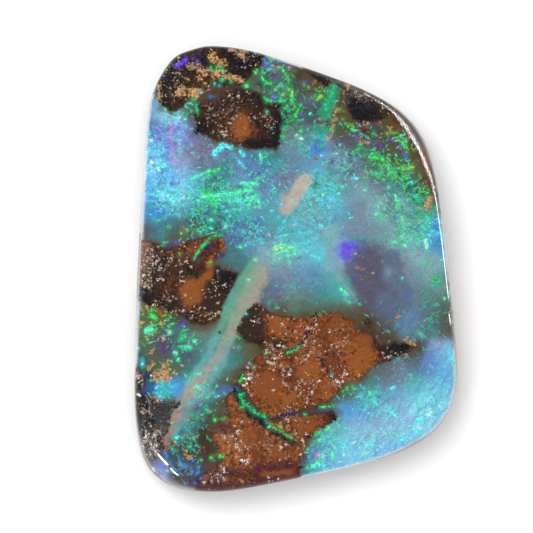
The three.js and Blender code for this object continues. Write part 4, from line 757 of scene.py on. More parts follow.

# How thickly the shards of fire are strewn in the opal, and the white specks in the ironstone, its grit and
# painted glints of its polish: each amount has its washes.
SHARDS = {
    0.85: [(1.2, -5.6, 5), (0.6, 2.4, 11.8, 1.8, 9)],
    0.7: [
        (1.1, 8.2, 5), (1.0, 9.2, 2.8), (0.9, -8, 10.2), (1.0, -6.6, 3.2), (0.9, -3.3, 4.8),
        (0.8, 1.6, -12.8),
    ],
    0.6: [(1.1, 5.8, 7, 7, 6.4), (1.4, -8.6, 5), (1.6, 8.8, -9.6), (1.6, 5.4, -8.9), (1.2, 4.6, -11.6)],
    0.5: [
        (1.2, 1.8, -11.6), (1.0, -8.9, -8.1), (1.2, -4.6, 3), (1.2, 6.6, 4.2), (1.2, 7.4, 2.4),
        (1, -6.6, -8), (1.5, 1.6, 5.4), (1.0, -7.4, -11.6), (1.0, 1.2, 8.6), (1.2, 3.4, 7.2),
    ],
    0.45: [
        (1.1, -0.8, 12, -0.5, 10.8), (0.9, 1.2, 11.6), (0.9, -9.6, 7), (0.8, 7.2, 8.6), (1.2, -3.2, 2.4),
        (0.9, -1.4, 13.2), (1, -7.4, -13.4),
    ],
    0.3: [
        (2, 8, -7), (1.6, 9.2, -4), (2, -6.6, -10), (1.6, -2, 6.4), (1.2, -0.8, 1.6), (2.4, 6.4, -11),
        (2, -5.6, 7.2), (2.4, 9.6, -8), (1.6, 1, 3.4), (2, -8.6, 8.6), (1.2, 4, 9), (1.2, 0.2, 9),
        (1.3, -9.4, -3.8), (1, -7.6, -5), (1, 5.4, 8.6),
    ],
    0.12: [(3, 5, 1), (2, 7, -3), (2, 0, -1.6)],
}
GRIT_AND_GLINTS = {
    1.0: [
        (1.1, -9.9, -11.6), (0.8, -10.3, -7.4), (0.7, -10, -9.3), (0.9, -9.3, 0.6), (0.7, -10.2, -0.8),
        (0.9, 5, 12),
    ],
    0.7: [
        (1.1, 2.4, -4.9), (1.0, 2.9, -6.9), (1.0, -3.8, -11.8), (0.9, 1, -4.5), (0.8, -0.4, -7.1),
        (0.8, -3.2, -7.4), (1.0, 1, -5.9), (0.9, -1, -5.4), (0.7, -1.4, -5.5), (1.1, -8.5, 12.6),
        (0.8, -3.2, 14.2), (0.8, -9, 11.4), (0.7, -4.9, -13.9), (0.7, 6.3, -5.5), (0.8, -7.3, 1.4),
        (0.8, -5.3, -1.6), (0.7, -8.6, -2.3), (0.8, 6, 11),
    ],
    0.5: [
        (1.4, 0.6, -7.8), (1.6, -4.4, 10.6), (0.7, -5.2, 10.8), (0.7, -5.2, 9.1), (0.7, -1.7, 9.8),
        (1.4, -2, -11.6), (1.2, -7, -2.9), (1.2, -2.6, -3.6), (0.9, 4.4, 12.2), (1.2, 0, -10.4),
    ],
}

# How deep the opal reaches down the wall, in millimetres, where it is more than a trace
OPAL_DEPTHS = {
    2.4: [(3, 9.5, -8.6), (3, 4, -12.6), (2, -9.9, 9.6, -10.2, 3.4), (1.6, -10.7, -3, -10.7, -6)],
    1.4: [(2, -8.4, -14), (2, 10, 1.5), (2, -1, 14)],
}
LEAST_OPAL_DEPTH = 0.35
MARK_REACH = 0.9  # how far outside a mark its colour is still known
MARKS_END = 1.5  # how far down the wall the marks reach

# Each kind of mark, and the distance over which the colours of its marks blend
MARKS = {"veil": (VEILS, 0.2), "stain": (STAINS, 0.08), "patch": (PATCHES, 0.02), "flash": (FLASHES, 0.02)}
GRIT_AND_GLINTS_ON_BACK = 0.3

# Painted light on the rounded edge, for the white surroundings mirrored in it and the light through its
# thin rim: how pale it makes the edge, the distances below the face over which that starts, and how much
# of it is lost over which distances farther down
PAINTED_EDGE_PALENESS = 0.8
PAINTED_EDGE_STARTS = (0.06, 0.2)
PAINTED_EDGE_LOST = 0.7
PAINTED_EDGE_FADES = (0.45, 1.1)

# The shards of fire, each family with its turn in degrees, its stretch along and across, and its cells to the
# millimetre. The white specks, grit and painted glints, have their cells to the millimetre and how much of
# them there is.
SHARD_FAMILIES = [(14, 0.6, 1.8, 4), (-48, 0.6, 1.7, 5.6), (60, 0.6, 1.8, 7)]
GRIT_AND_GLINT_FAMILIES = [(7, 0.8), (12, 1.2)]
RELIEF = 0.07  # how deep the grain of the ironstone looks

# Colours that the material adds, as the light it gives back
BROWN_HAZE = (0.075, 0.05, 0.025, 1)
DARK_RIM = (0.03, 0.022, 0.018, 1)
# painted shade of small pits in the ironstone, as dark flecks
PAINTED_PIT_SHADE = (0.018, 0.012, 0.01, 1)
# the white specks run from darkest to palest; the palest are partly painted glints
DARKEST_GRIT_AND_GLINT = (0.16, 0.09, 0.06, 1)
PALEST_GRIT_AND_GLINT = (0.6, 0.5, 0.44, 1)

# Each lamp: its name, its direction and height in degrees, its distance and size in metres, its strength, and
# whether it shows in the gloss or else lights the surfaces. Strips show in the polished edge.
LAMPS = [
    ("soft_key", 125, 60, 0.5, (0.36, 0.36), 3.4, False),
    ("overhead", 0, 90, 0.6, (1.0, 1.0), 1.3, False),
    ("upper_right_strip", 34, 30, 0.4, (0.3, 0.045), 85, True),
    ("upper_right_low_strip", 34, 8, 0.4, (0.25, 0.03), 14, True),
    ("right_strip", 7.4, 30, 0.4, (0.05, 0.09), 40, True),
    ("lower_left_strip", -136, 47, 0.4, (0.06, 0.085), 40, True),
]
FLOOR_REACH = 2.5  # in metres

# What the picture takes in: its middle and width in millimetres, with a lens and a sensor as long and as wide
PICTURE_MIDDLE = (-1.95, 0.17)
PICTURE_WIDTH = 35.85
LENS = 500
SENSOR = 36


def daylight(name):
    """A colour as the light that the material gives back, before the lamps' brightness."""
    share = np.array(COLOURS[name]) / 255
    linear = np.where(share <= 0.04045, share / 12.92, ((share + 0.055) / 1.055) ** 2.4)
    return linear / LIGHT_ON_FACE


def smoothly(value, start, end):
    share = np.clip((value - start) / (end - start), 0, 1)
    return share * share * (3 - 2 * share)


def girdle_curve(at):
    """Points of the closed smooth curve through GIRDLE. `at` counts its points, and may lie between two."""
    corners = np.array(GIRDLE)
    first = np.floor(at).astype(int)
    t = (at - first)[:, None]
    before, here, after, beyond = (corners[(first + k) % len(corners)] for k in (-1, 0, 1, 2))
    leaving = (after - before) / 2
    arriving = (beyond - here) / 2
    square = (3 * (after - here) - 2 * leaving - arriving) * t**2
    cube = (2 * (here - after) + leaving + arriving) * t**3
    return here + leaving * t + square + cube


def girdle_points():
    """The girdle as evenly spaced points along each of its four sides, fitted to LENGTH and centred."""
    sides = []
    for side, steps in enumerate((COLUMNS, ROWS, COLUMNS, ROWS)):
        end = CORNERS[side + 1] if side < 3 else CORNERS[0] + len(GIRDLE)
        fine = girdle_curve(np.linspace(CORNERS[side], end, 20 * steps))
        travelled = np.concatenate([[0], np.cumsum(np.hypot(*np.diff(fine, axis=0).T))])
        wanted = travelled[-1] * np.arange(steps) / steps
        sides.append(np.stack([np.interp(wanted, travelled, fine[:, k]) for k in (0, 1)], axis=1))
    points = np.concatenate(sides)
    middle = (points.min(0) + points.max(0)) / 2
    return (points - middle) * LENGTH / np.ptp(points[:, 1])


def softer_edges_at(points):
    """How far the wall leans in, and the radius of its shoulder, in each point's direction."""
    degrees = np.degrees(np.arctan2(points[:, 1], points[:, 0]))
    lean = np.full(len(points), LEAN)
    radius = np.full(len(points), SHOULDER_RADIUS)
    for at, spread, more_lean, more_radius in SOFTER_EDGES:
        away = (degrees - at + 180) % 360 - 180
        near = np.exp(-((away / spread) ** 2))
        lean += more_lean * near
        radius += more_radius * near
    return lean, radius


def wall_stations(girdle):
    """Each ring's inset from the girdle and its height, from the edge of the face to that of the back."""
    lean, radius = softer_edges_at(girdle)
    shoulder = SHOULDER_HEIGHT + girdle @ FACE_TILT
    wall_top = np.arctan2(lean, shoulder - GIRDLE_HEIGHT)
    stations = []
    for step in range(SHOULDER_STEPS + 1):
        share = step / SHOULDER_STEPS
        angle = math.radians(FACE_EDGE_SLOPE) * (1 - share) + wall_top * share
        inset = lean + radius * (1 - np.cos(angle))
        stations.append((inset, shoulder - radius * (1 - np.sin(angle))))
    top_inset, top_height = stations[-1]
    for step in range(1, WALL_STEPS):
        share = step / WALL_STEPS
        stations.append((top_inset * (1 - share), top_height + (GIRDLE_HEIGHT - top_height) * share))
    for step in range(BASE_STEPS + 1):
        angle = math.pi / 2 * step / BASE_STEPS
        inset = np.full(len(girdle), BACK_INSET * (1 - math.cos(angle)))
        stations.append((inset, np.full(len(girdle), GIRDLE_HEIGHT * (1 - math.sin(angle)))))
    return stations


def wrapped_grid(wall_rings):
    """A square grid extruded down into an open box, a step to a ring, and closed by a point at its foot."""
    shape = bmesh.new()
    bmesh.ops.create_grid(shape, x_segments=COLUMNS, y_segments=ROWS, size=1)
    edge = [e for e in shape.edges if e.is_boundary]
    for _ in range(wall_rings + len(BACK_RINGS)):
        made = bmesh.ops.extrude_edge_only(shape, edges=edge)["geom"]
        ring = [v for v in made if isinstance(v, bmesh.types.BMVert)]
        edge = [e for e in made if isinstance(e, bmesh.types.BMEdge) and e.is_boundary]
        bmesh.ops.translate(shape, verts=ring, vec=(0, 0, -1))
    bmesh.ops.pointmerge(shape, verts=ring, merge_co=(0, 0, -1 - wall_rings - len(BACK_RINGS)))
    bmesh.ops.recalc_face_normals(shape, faces=shape.faces)
    return shape


def places_in_grid(mesh):
    """Each vertex's shares across and up the face, its ring down the wall, and its number round the edge."""
    box = np.empty(len(mesh.vertices) * 3)
    mesh.vertices.foreach_get("co", box)
    x, y, z = box.reshape(-1, 3).T
    across = (x + 1) / 2
    up = (y + 1) / 2
    column = np.rint(across * COLUMNS).astype(int)
    row = np.rint(up * ROWS).astype(int)
    around = 2 * COLUMNS + 2 * ROWS
    index = np.select(
        [row == 0, column == COLUMNS, row == ROWS],
        [column, COLUMNS + row, around - ROWS - column],
        around - row,
    ) % around
    return across, up, np.rint(-z).astype(int), index


def face_points(edge, across, up):
    """Points of the face between its four edges, from how far across and up it they are."""
    column = np.rint(across * COLUMNS).astype(int)
    row = np.rint(up * ROWS).astype(int)
    bottom = edge[column]
    right = edge[COLUMNS + row]
    top = edge[2 * COLUMNS + ROWS - column]
    left = edge[(2 * COLUMNS + 2 * ROWS - row) % len(edge)]
    corners = [edge[0], edge[COLUMNS], edge[COLUMNS + ROWS], edge[2 * COLUMNS + ROWS]]
    across = across[:, None]
    up = up[:, None]
    low_corners = corners[0] * (1 - across) + corners[1] * across
    high_corners = corners[3] * (1 - across) + corners[2] * across
    edges = bottom * (1 - up) + top * up + left * (1 - across) + right * across
    return edges - low_corners * (1 - up) - high_corners * up


def share_out(points, edge):
    """How far each point is from the middle of the face, as a share of the way to its edge."""
    angles = np.arctan2(edge[:, 1], edge[:, 0])
    order = np.argsort(angles)
    reach = np.hypot(*edge[order].T)
    here = np.arctan2(points[:, 1], points[:, 0])
    return np.minimum(1, np.hypot(*points.T) / np.interp(here, angles[order], reach, period=2 * math.pi))


def face_height(points, out):
    wave = FACE_WAVE["height"] * np.sin(FACE_WAVE["per_x"] * points[:, 0] + FACE_WAVE["at_x"])
    wave *= np.cos(FACE_WAVE["per_y"] * points[:, 1] + FACE_WAVE["at_y"])
    edge = SHOULDER_HEIGHT - softer_edges_at(points)[1] * (1 - math.sin(math.radians(FACE_EDGE_SLOPE)))
    return edge + points @ FACE_TILT + CROWN_RISE * (1 - out**CROWN_POWER) + wave * (1 - out**2)


def line_distance(points, line):
    """How far each point is from a line through one or more corners."""
    if len(line) == 1:
        return np.hypot(*(points - line[0]).T)
    nearest = np.full(len(points), np.inf)
    for start, end in zip(line, line[1:]):
        along = end - start
        share = np.clip((points - start) @ along / (along @ along), 0, 1)
        nearest = np.minimum(nearest, np.hypot(*(points - start - share[:, None] * along).T))
    return nearest


def depth_inside(points, outline):
    """How deep each point is inside a closed outline, less than 0 outside it."""
    corners = np.array(outline)
    x, y = points.T
    inside = np.zeros(len(points), bool)
    for (ax, ay), (bx, by) in zip(corners, np.roll(corners, -1, axis=0)):
        crosses = (ay > y) != (by > y)
        inside ^= crosses & (x < ax + (bx - ax) * (y - ay) / (by - ay if by != ay else 1))
    distance = line_distance(points, np.concatenate([corners, corners[:1]]))
    return np.where(inside, distance, -distance)


def ironstone_depth(points):
    depth = np.full(len(points), -MARK_REACH)
    for outline in IRONSTONE_FIELDS.values():
        depth = np.maximum(depth, depth_inside(points, outline))
    return depth


def washed(points, fade, places):
    """How strongly a wash through these places tells at each point, from 0 to 1."""
    return np.exp(-((line_distance(points, np.reshape(places, (-1, 2))) / fade) ** 2))


def painted_washes(points, washes, under):
    """The blend of all washes at each point, over a thin coat of `under`."""
    total = np.full(len(points), 0.02)
    blend = total[:, None] * daylight(under)
    for name, lines in washes.items():
        for fade, *places in lines:
            weight = washed(points, fade, places)
            total += weight
            blend += weight[:, None] * daylight(name)
    return blend / total[:, None]


def strewn(points, amounts):
    """How much of something there is at each point: the most that any of its washes gives."""
    most = np.zeros(len(points))
    for amount, lines in amounts.items():
        for fade, *places in lines:
            most = np.maximum(most, amount * washed(points, fade, places))
    return most


def painted_marks(points, marks, blend):
    """How deep each point is inside its nearest mark, and that mark's colour, blended into the next ones'."""
    depth = np.full(len(points), -MARK_REACH)
    total = np.full(len(points), 1e-6)
    colour = total[:, None] * daylight("teal")
    for name, lines in marks.items():
        for width, *places in lines:
            line = np.reshape(places, (-1, 2))
            room = width / 2 + MARK_REACH
            close = (points > line.min(0) - room) & (points < line.max(0) + room)
            near = np.flatnonzero(np.all(close, axis=1))
            inside = width / 2 - line_distance(points[near], line)
            depth[near] = np.maximum(depth[near], inside)
            weight = np.exp(inside / blend)
            total[near] += weight
            colour[near] += weight[:, None] * daylight(name)
    return depth, colour / total[:, None]


def wandering(points):
    """Points shifted by smooth noise, so that what is painted at them has uneven edges."""
    noise.seed_set(SEED)
    for per_mm, far, level in WANDERING:
        shift = [noise.noise_vector((x * per_mm, y * per_mm, level))[:2] for x, y in points]
        points = points + far * np.array(shift)
    return points


def face_pits(points, ironstone):
    """The named pits and the scattered ones, which lie well inside the ironstone."""
    rng = np.random.default_rng(SEED)
    pits = list(NAMED_PITS)
    candidates = np.flatnonzero(ironstone > PITS_INSIDE)
    for index in rng.choice(candidates, SCATTERED_PITS, replace=False):
        pits.append((*points[index], rng.uniform(*SCATTERED_RADII)))
    return pits


def pit_at(away, radius):
    """How deep a pit is at a share of its radius from its middle."""
    return PIT_DEPTH * radius * np.clip(1 - away**2, 0, 1)


def wear_face(place, on_face, out, ironstone):
    """Sets the softer ironstone a little below the opal, and cuts the pits of the face."""
    sink = UNDERCUT * smoothly(ironstone, *UNDERCUT_EDGE)
    for x, y, radius in face_pits(place[on_face][:, :2], ironstone[on_face]):
        sink += pit_at(np.hypot(place[:, 0] - x, place[:, 1] - y) / radius, radius)
    place[:, 2] -= np.where(on_face, sink * (1 - smoothly(out, *WEAR_ENDS)), 0)


def wear_wall(place, on_face, girdle):
    for degrees, height, radius in WALL_PITS:
        angle = math.radians(degrees)
        way = np.array([math.cos(angle), math.sin(angle)])
        centre = girdle[np.argmax(girdle @ way / np.hypot(*girdle.T))]
        away = np.hypot(np.hypot(*(place[:, :2] - centre).T), place[:, 2] - height)
        push = pit_at(away / radius, radius)
        place[:, :2] -= np.where(on_face, 0, push)[:, None] * way


def build_stone():
    girdle = girdle_points()
    along = np.roll(girdle, -1, axis=0) - np.roll(girdle, 1, axis=0)
    inward = np.stack([-along[:, 1], along[:, 0]], axis=1) / np.hypot(*along.T)[:, None]
    stations = wall_stations(girdle)
    edge = girdle + inward * stations[0][0][:, None]
    foot = girdle + inward * stations[-1][0][:, None]

    shape = wrapped_grid(len(stations) - 1)
    mesh = bpy.data.meshes.new("polished_boulder_opal")
    shape.to_mesh(mesh)
    shape.free()
    across, up, ring, index = places_in_grid(mesh)
    on_face = ring == 0
    flat = face_points(edge, across, up)
    out = share_out(flat, edge)
    place = np.column_stack([flat, face_height(flat, out)])
    for number, (inset, height) in enumerate(stations[1:], 1):
        here = ring == number
        place[here, :2] = girdle[index[here]] + inward[index[here]] * inset[index[here]][:, None]
        place[here, 2] = height[index[here]]
    for number, share in enumerate(BACK_RINGS, len(stations)):
        here = ring == number
        place[here, :2] = foot[index[here]] * share
        place[here, 2] = 0
    place[ring >= len(stations) + len(BACK_RINGS)] = 0

    # what is painted on the wall follows its place seen from above, and below the girdle the girdle's
    painted = place[:, :2].copy()
    below = ring > SHOULDER_STEPS + WALL_STEPS
    painted[below] = girdle[index[below]]
    painted = wandering(painted)
    opal_depth = np.maximum(LEAST_OPAL_DEPTH, strewn(painted, OPAL_DEPTHS))
    below_edge = SHOULDER_HEIGHT + place[:, :2] @ FACE_TILT - place[:, 2]
    under_opal = np.where(on_face, -MARK_REACH, below_edge - opal_depth)
    ironstone = np.maximum(ironstone_depth(painted), under_opal)

    wear_face(place, on_face, out, ironstone)
    wear_wall(place, on_face, girdle)
    mesh.vertices.foreach_set("co", (place * MM).ravel())
    mesh.update()
    paint(mesh, painted, ironstone, below_edge, ring >= len(stations) - 1)
    mesh.shade_smooth()
    stone = bpy.data.objects.new("polished_boulder_opal", mesh)
    bpy.context.scene.collection.objects.link(stone)
    return stone


def painted_edge_light(points, below_edge):
    """Painted light that pales the opal's rounded edge, less so down the wall."""
    rounding = softer_edges_at(points)[1] / SHOULDER_RADIUS
    glow = PAINTED_EDGE_PALENESS * smoothly(below_edge / rounding, *PAINTED_EDGE_STARTS) / rounding**1.5
    return (glow * (1 - PAINTED_EDGE_LOST * smoothly(below_edge, *PAINTED_EDGE_FADES)))[:, None]


def paint(mesh, points, ironstone, below_edge, on_back):
    """Stores what is painted at each vertex for the material to read."""

    def values(name, numbers):
        stored = mesh.attributes.new(name, "FLOAT", "POINT")
        stored.data.foreach_set("value", numbers.astype(np.float32))

    def colours(name, rows):
        rgba = np.ones((len(rows), 4), np.float32)
        rgba[:, :3] = rows
        mesh.attributes.new(name, "FLOAT_COLOR", "POINT").data.foreach_set("color", rgba.ravel())

    rock = painted_washes(points, ROCK_WASHES, "umber")
    rock[on_back] = daylight("brown")
    # painted light on the rounded edge, mixed into the opal's body colour
    glow = painted_edge_light(points, below_edge)
    body = painted_washes(points, BODY_WASHES, "teal")
    colours("opal_body_and_edge_light", body * (1 - glow) + daylight("painted_edge_light") * glow)
    colours("fire", painted_washes(points, FIRE_WASHES, "turquoise"))
    colours("rock", rock)
    for name, (marks, blend) in MARKS.items():
        depth, colour = painted_marks(points, marks, blend)
        values(name + "_depth", np.where(below_edge > MARKS_END, -MARK_REACH, depth))
        colours(name + "_colour", colour)
    values("ironstone_depth", ironstone)
    values("shards", strewn(points, SHARDS))
    values("grit_and_glints", np.where(on_back, GRIT_AND_GLINTS_ON_BACK, strewn(points, GRIT_AND_GLINTS)))


class Board:
    """Adds nodes to a node tree. What each call takes may be numbers or other nodes' outputs."""

    def __init__(self, tree, groups=()):
        self.tree = tree
        self.groups = dict(groups)

    def node(self, kind, settings=(), **inputs):
        made = self.tree.nodes.new("ShaderNode" + kind)
        for name, value in dict(settings).items():
            setattr(made, name, value)
        for name, value in inputs.items():
            self.feed(made.inputs[name.replace("_", " ")], value)
        return made

    def feed(self, socket, value):
        if isinstance(value, bpy.types.NodeSocket):
            self.tree.links.new(value, socket)
        else:
            socket.default_value = value

    def math(self, operation, *values):
        made = self.node("Math", {"operation": operation})
        for socket, value in zip(made.inputs, values):
            self.feed(socket, value)
        return made.outputs[0]

    def times(self, a, b):
        return self.math("MULTIPLY", a, b)

    def vectors(self, operation, a, b):
        made = self.node("VectorMath", {"operation": operation})
        self.feed(made.inputs[0], a)
        self.feed(made.inputs[1], b)
        return made.outputs

    def ramp(self, value, low, high, to_low=0.0, to_high=1.0):
        """A smooth step from low to high."""
        made = self.node("MapRange", {"interpolation_type": "SMOOTHSTEP"}, Value=value)
        for name, number in zip(("From Min", "From Max", "To Min", "To Max"), (low, high, to_low, to_high)):
            self.feed(made.inputs[name], number)
        return made.outputs["Result"]

    def mix(self, share, a, b):
        """A colour between two."""
        made = self.node("Mix", {"data_type": "RGBA"}, Factor=share)
        self.feed(made.inputs[6], a)
        self.feed(made.inputs[7], b)
        return made.outputs[2]

    def between(self, share, a, b):
        """A number between two."""
        made = self.node("Mix", {"data_type": "FLOAT"}, Factor=share)
        self.feed(made.inputs[2], a)
        self.feed(made.inputs[3], b)
        return made.outputs[0]

    def scaled(self, colour, amount):
        made = self.node("VectorMath", {"operation": "SCALE"}, Scale=amount)
        self.feed(made.inputs[0], colour)
        return made.outputs[0]

    def moved(self, place, turn=0.0, stretch=(1, 1, 1), shift=(0, 0, 0)):
        turned = (0, 0, math.radians(turn))
        return self.node("Mapping", Vector=place, Rotation=turned, Scale=stretch, Location=shift).outputs[0]

    def combed(self, place, turn, along, across):
        """The place stretched so that a noise on it runs in fibres, turned so many degrees from X."""
        return self.moved(self.moved(place, -turn), stretch=(along, across, 1), shift=(turn, 0, 0))

    def noise(self, place, per_mm, detail=2.0, roughness=0.5, bend=0.0):
        return self.node(
            "TexNoise", Vector=place, Scale=per_mm, Detail=detail, Roughness=roughness, Distortion=bend
        ).outputs["Fac"]

    def varied(self, place, per_mm, low, high, detail=3.0, roughness=0.65):
        """A number that noise varies between low and high."""
        return self.ramp(self.noise(place, per_mm, detail, roughness), 0.3, 0.7, low, high)

    def value(self, name):
        return self.node("Attribute", {"attribute_name": name}).outputs["Fac"]

    def colour(self, name):
        return self.node("Attribute", {"attribute_name": name}).outputs["Color"]

    def use(self, group, **inputs):
        return self.node("Group", {"node_tree": self.groups[group]}, **inputs).outputs

    def ragged(self, name, place, grain, wander, softness):
        """A mask for what is painted under a name, with a ragged edge."""
        depth = self.value(name + "_depth")
        edge = self.use("edge", Depth=depth, Place=place, Grain=grain, Wander=wander, Softness=softness)
        return edge["Mask"]

    def flecks(self, place, count, amount=1.0):
        return self.use("flecks", Place=place, Count=count, Amount=amount)


def new_group(name, inputs, outputs):
    """An empty shader node group with the given sockets, and the boards for its inside."""
    group = bpy.data.node_groups.new(name, "ShaderNodeTree")
    for socket, kind in inputs.items():
        group.interface.new_socket(name=socket, in_out="INPUT", socket_type="NodeSocket" + kind)
    for socket, kind in outputs.items():
        group.interface.new_socket(name=socket, in_out="OUTPUT", socket_type="NodeSocket" + kind)
    entry = group.nodes.new("NodeGroupInput").outputs
    leave = group.nodes.new("NodeGroupOutput").inputs
    return group, Board(group), entry, leave


def ragged_edge_group():
    """A mask for what is deeper than 0, its edge shifted to and fro by noise."""
    group, board, entry, leave = new_group(
        "ragged edge",
        {"Depth": "Float", "Place": "Vector", "Grain": "Float", "Wander": "Float", "Softness": "Float"},
        {"Mask": "Float"},
    )
    rough = board.noise(entry["Place"], entry["Grain"], 3.0, 0.6)
    shift = board.times(board.math("SUBTRACT", rough, 0.5), entry["Wander"])
    depth = board.math("ADD", entry["Depth"], shift)
    outer = board.times(entry["Softness"], -1.0)
    board.feed(leave["Mask"], board.ramp(depth, outer, entry["Softness"]))
    return group


def flecks_group():
    """A mosaic of small uneven cells: Tone is a number of each cell's own, Mask picks a share of them."""
    group, board, entry, leave = new_group(
        "flecks", {"Place": "Vector", "Count": "Float", "Amount": "Float"}, {"Mask": "Float", "Tone": "Float"}
    )
    rate = board.times(entry["Count"], 1.3)
    wobble = board.node("TexNoise", Vector=entry["Place"], Scale=rate, Detail=2.0).outputs["Color"]
    wobble = board.scaled(wobble, board.math("DIVIDE", 2.4, entry["Count"]))
    bent = board.vectors("ADD", entry["Place"], wobble)[0]
    cell = board.node("TexVoronoi", Vector=bent, Scale=entry["Count"]).outputs["Color"]
    chances = board.node("SeparateXYZ", Vector=cell).outputs
    needed = board.math("SUBTRACT", 1.0, board.times(entry["Amount"], 0.25))
    board.feed(leave["Mask"], board.math("GREATER_THAN", chances["X"], needed))
    board.feed(leave["Tone"], chances["Y"])
    return group


def opal_colour(board, place):
    """The opal: its body in fibres, clouds and cells, brown near ironstone, with milk and shards of fire."""
    spots = board.node("SeparateXYZ", Vector=place).outputs
    corner = board.ramp(board.math("SUBTRACT", spots["X"], spots["Y"]), 5, 12)
    clouds = board.noise(board.combed(place, 8, 0.8, 1.5), 1.5, 5.0, 0.64, 0.5)
    fibres = board.noise(board.combed(place, 58, 0.55, 2.4), 1.8, 5.0, 0.64, 0.3)
    weave = board.between(corner, clouds, fibres)
    shards = board.value("shards")
    busy = board.times(shards, board.ramp(corner, 0, 1, 1.0, 0.4))
    darkest = board.ramp(busy, 0, 0.45, 0.9, 0.7)
    brightest = board.ramp(busy, 0, 0.45, 1.1, 1.34)
    # this body colour carries the painted light on the rounded edge
    body = board.scaled(board.colour("opal_body_and_edge_light"), board.ramp(weave, 0.3, 0.7, darkest, brightest))
    body = board.scaled(body, board.varied(place, 8, 0.86, 1.14))

    # cells of slightly different hue and shade, where there are shards
    coarse = board.flecks(board.combed(place, 24, 0.6, 1.5), 2.4)["Tone"]
    fine = board.flecks(board.combed(place, -40, 0.7, 1.5), 6.0)["Tone"]
    slanted = board.flecks(board.combed(place, 56, 0.5, 1.6), 5.5)["Tone"]
    hue = board.ramp(coarse, 0, 1, 0.465, 0.54)
    shade = board.between(corner, board.ramp(fine, 0, 1, 0.66, 1.3), board.ramp(slanted, 0, 1, 0.84, 1.16))
    patchwork = board.node("HueSaturation", Color=body, Hue=hue, Value=shade).outputs[0]
    body = board.mix(board.ramp(shards, 0.05, 0.5, 0.1, 0.95), body, patchwork)

    near = board.ramp(board.value("ironstone_depth"), -0.75, -0.02)
    stain = board.ramp(board.noise(place, 1.0, 3.0, 0.6, 0.3), 0.38, 0.62, 0.1, 0.85)
    body = board.mix(board.times(near, stain), body, BROWN_HAZE)

    veil_edge = board.ragged("veil", place, 1.8, 0.6, 0.22)
    milk = board.scaled(board.colour("veil_colour"), board.ramp(weave, 0.3, 0.7, 0.9, 1.1))
    milk = board.scaled(milk, board.varied(place, 7, 0.9, 1.1))
    body = board.mix(board.times(veil_edge, 0.86), body, milk)

    amount = board.times(shards, board.ramp(veil_edge, 0, 1, 1.0, 0.45))
    fire = board.colour("fire")
    for turn, along, across, count in SHARD_FAMILIES:
        shape = board.combed(place, turn, along, across)
        fleck = board.flecks(shape, count, amount)
        hue = board.ramp(fleck["Tone"], 0, 1, 0.565, 0.435)
        shade = board.varied(shape, 2 * count, 0.3, 1.7, 2.0, 0.6)
        tint = board.node("HueSaturation", Color=fire, Hue=hue, Value=shade).outputs[0]
        body = board.mix(board.times(fleck["Mask"], board.ramp(corner, 0, 1, 0.8, 0.6)), body, tint)
    return body


def ironstone_colour(board, place):
    """The ironstone: brown grain, dark clouds, smooth stains, black painted pit shade, white grit and painted
    glints.
    """
    clouds = board.ramp(board.noise(place, 2.2, 4.0, 0.65, 0.4), 0.32, 0.68, 0.6, 1.3)
    rock = board.scaled(board.colour("rock"), clouds)
    crumbs = board.flecks(board.moved(place, 30, shift=(5, 1, 0)), 8.0)["Tone"]
    rock = board.scaled(rock, board.ramp(crumbs, 0, 1, 0.55, 1.4))
    stain = board.ragged("stain", place, 2.0, 0.8, 0.22)
    rock = board.mix(board.times(stain, 0.9), rock, board.colour("stain_colour"))
    darkest = board.ramp(stain, 0, 1, 0.56, 0.7)
    brightest = board.ramp(stain, 0, 1, 1.42, 1.24)
    rock = board.scaled(rock, board.varied(place, 9, darkest, brightest, 4.0, 0.75))

    clusters = board.ramp(board.noise(place, 1.5, 3.0, 0.6), 0.44, 0.62, 0.3, 1.0)
    clusters = board.times(clusters, board.ramp(stain, 0, 1, 1.0, 0.3))
    grit_and_glints = board.times(board.value("grit_and_glints"), clusters)
    amount = board.math("ADD", grit_and_glints, board.ramp(stain, 0, 1, 0.4, 0.08))
    # dark flecks: painted shade in small pits, most where the white specks gather
    dark = board.flecks(board.moved(place, shift=(7, 3, 0)), 6.0, amount)["Mask"]
    rock = board.mix(board.times(dark, 0.7), rock, PAINTED_PIT_SHADE)
    # white specks: grit, and painted glints of the polish
    for count, share in GRIT_AND_GLINT_FAMILIES:
        shape = board.moved(place, 12 * count, shift=(count, 3, 0))
        fleck = board.flecks(shape, count, board.times(grit_and_glints, share))
        tone = board.mix(fleck["Tone"], DARKEST_GRIT_AND_GLINT, PALEST_GRIT_AND_GLINT)
        rock = board.mix(board.times(fleck["Mask"], 0.85), rock, tone)
    return rock


def with_patches(board, place, colour):
    """Mottled patches with small holes in them, laid over what is there."""
    patch = board.ragged("patch", place, 5.0, 1.0, 0.03)
    holes = board.flecks(board.moved(place, 40, shift=(1, 9, 0)), 6.5, 1.1)
    patch = board.times(patch, board.ramp(holes["Mask"], 0, 1, 0.96, 0.1))
    mottle = board.varied(place, 6, 0.55, 1.5, 3.0, 0.6)
    grain = board.times(mottle, board.ramp(holes["Tone"], 0, 1, 0.75, 1.2))
    return board.mix(patch, colour, board.scaled(board.colour("patch_colour"), grain))


def with_flashes(board, place, colour):
    """Bright flashes, each in a faint halo of its own colour."""
    flash = board.ragged("flash", place, 6.0, 0.45, 0.05)
    halo = board.times(board.ramp(board.value("flash_depth"), -0.25, 0.02), 0.16)
    fire = board.scaled(board.colour("flash_colour"), board.varied(place, 6.5, 0.55, 1.75, 3.0, 0.6))
    return board.mix(board.math("MAXIMUM", flash, halo), colour, fire)


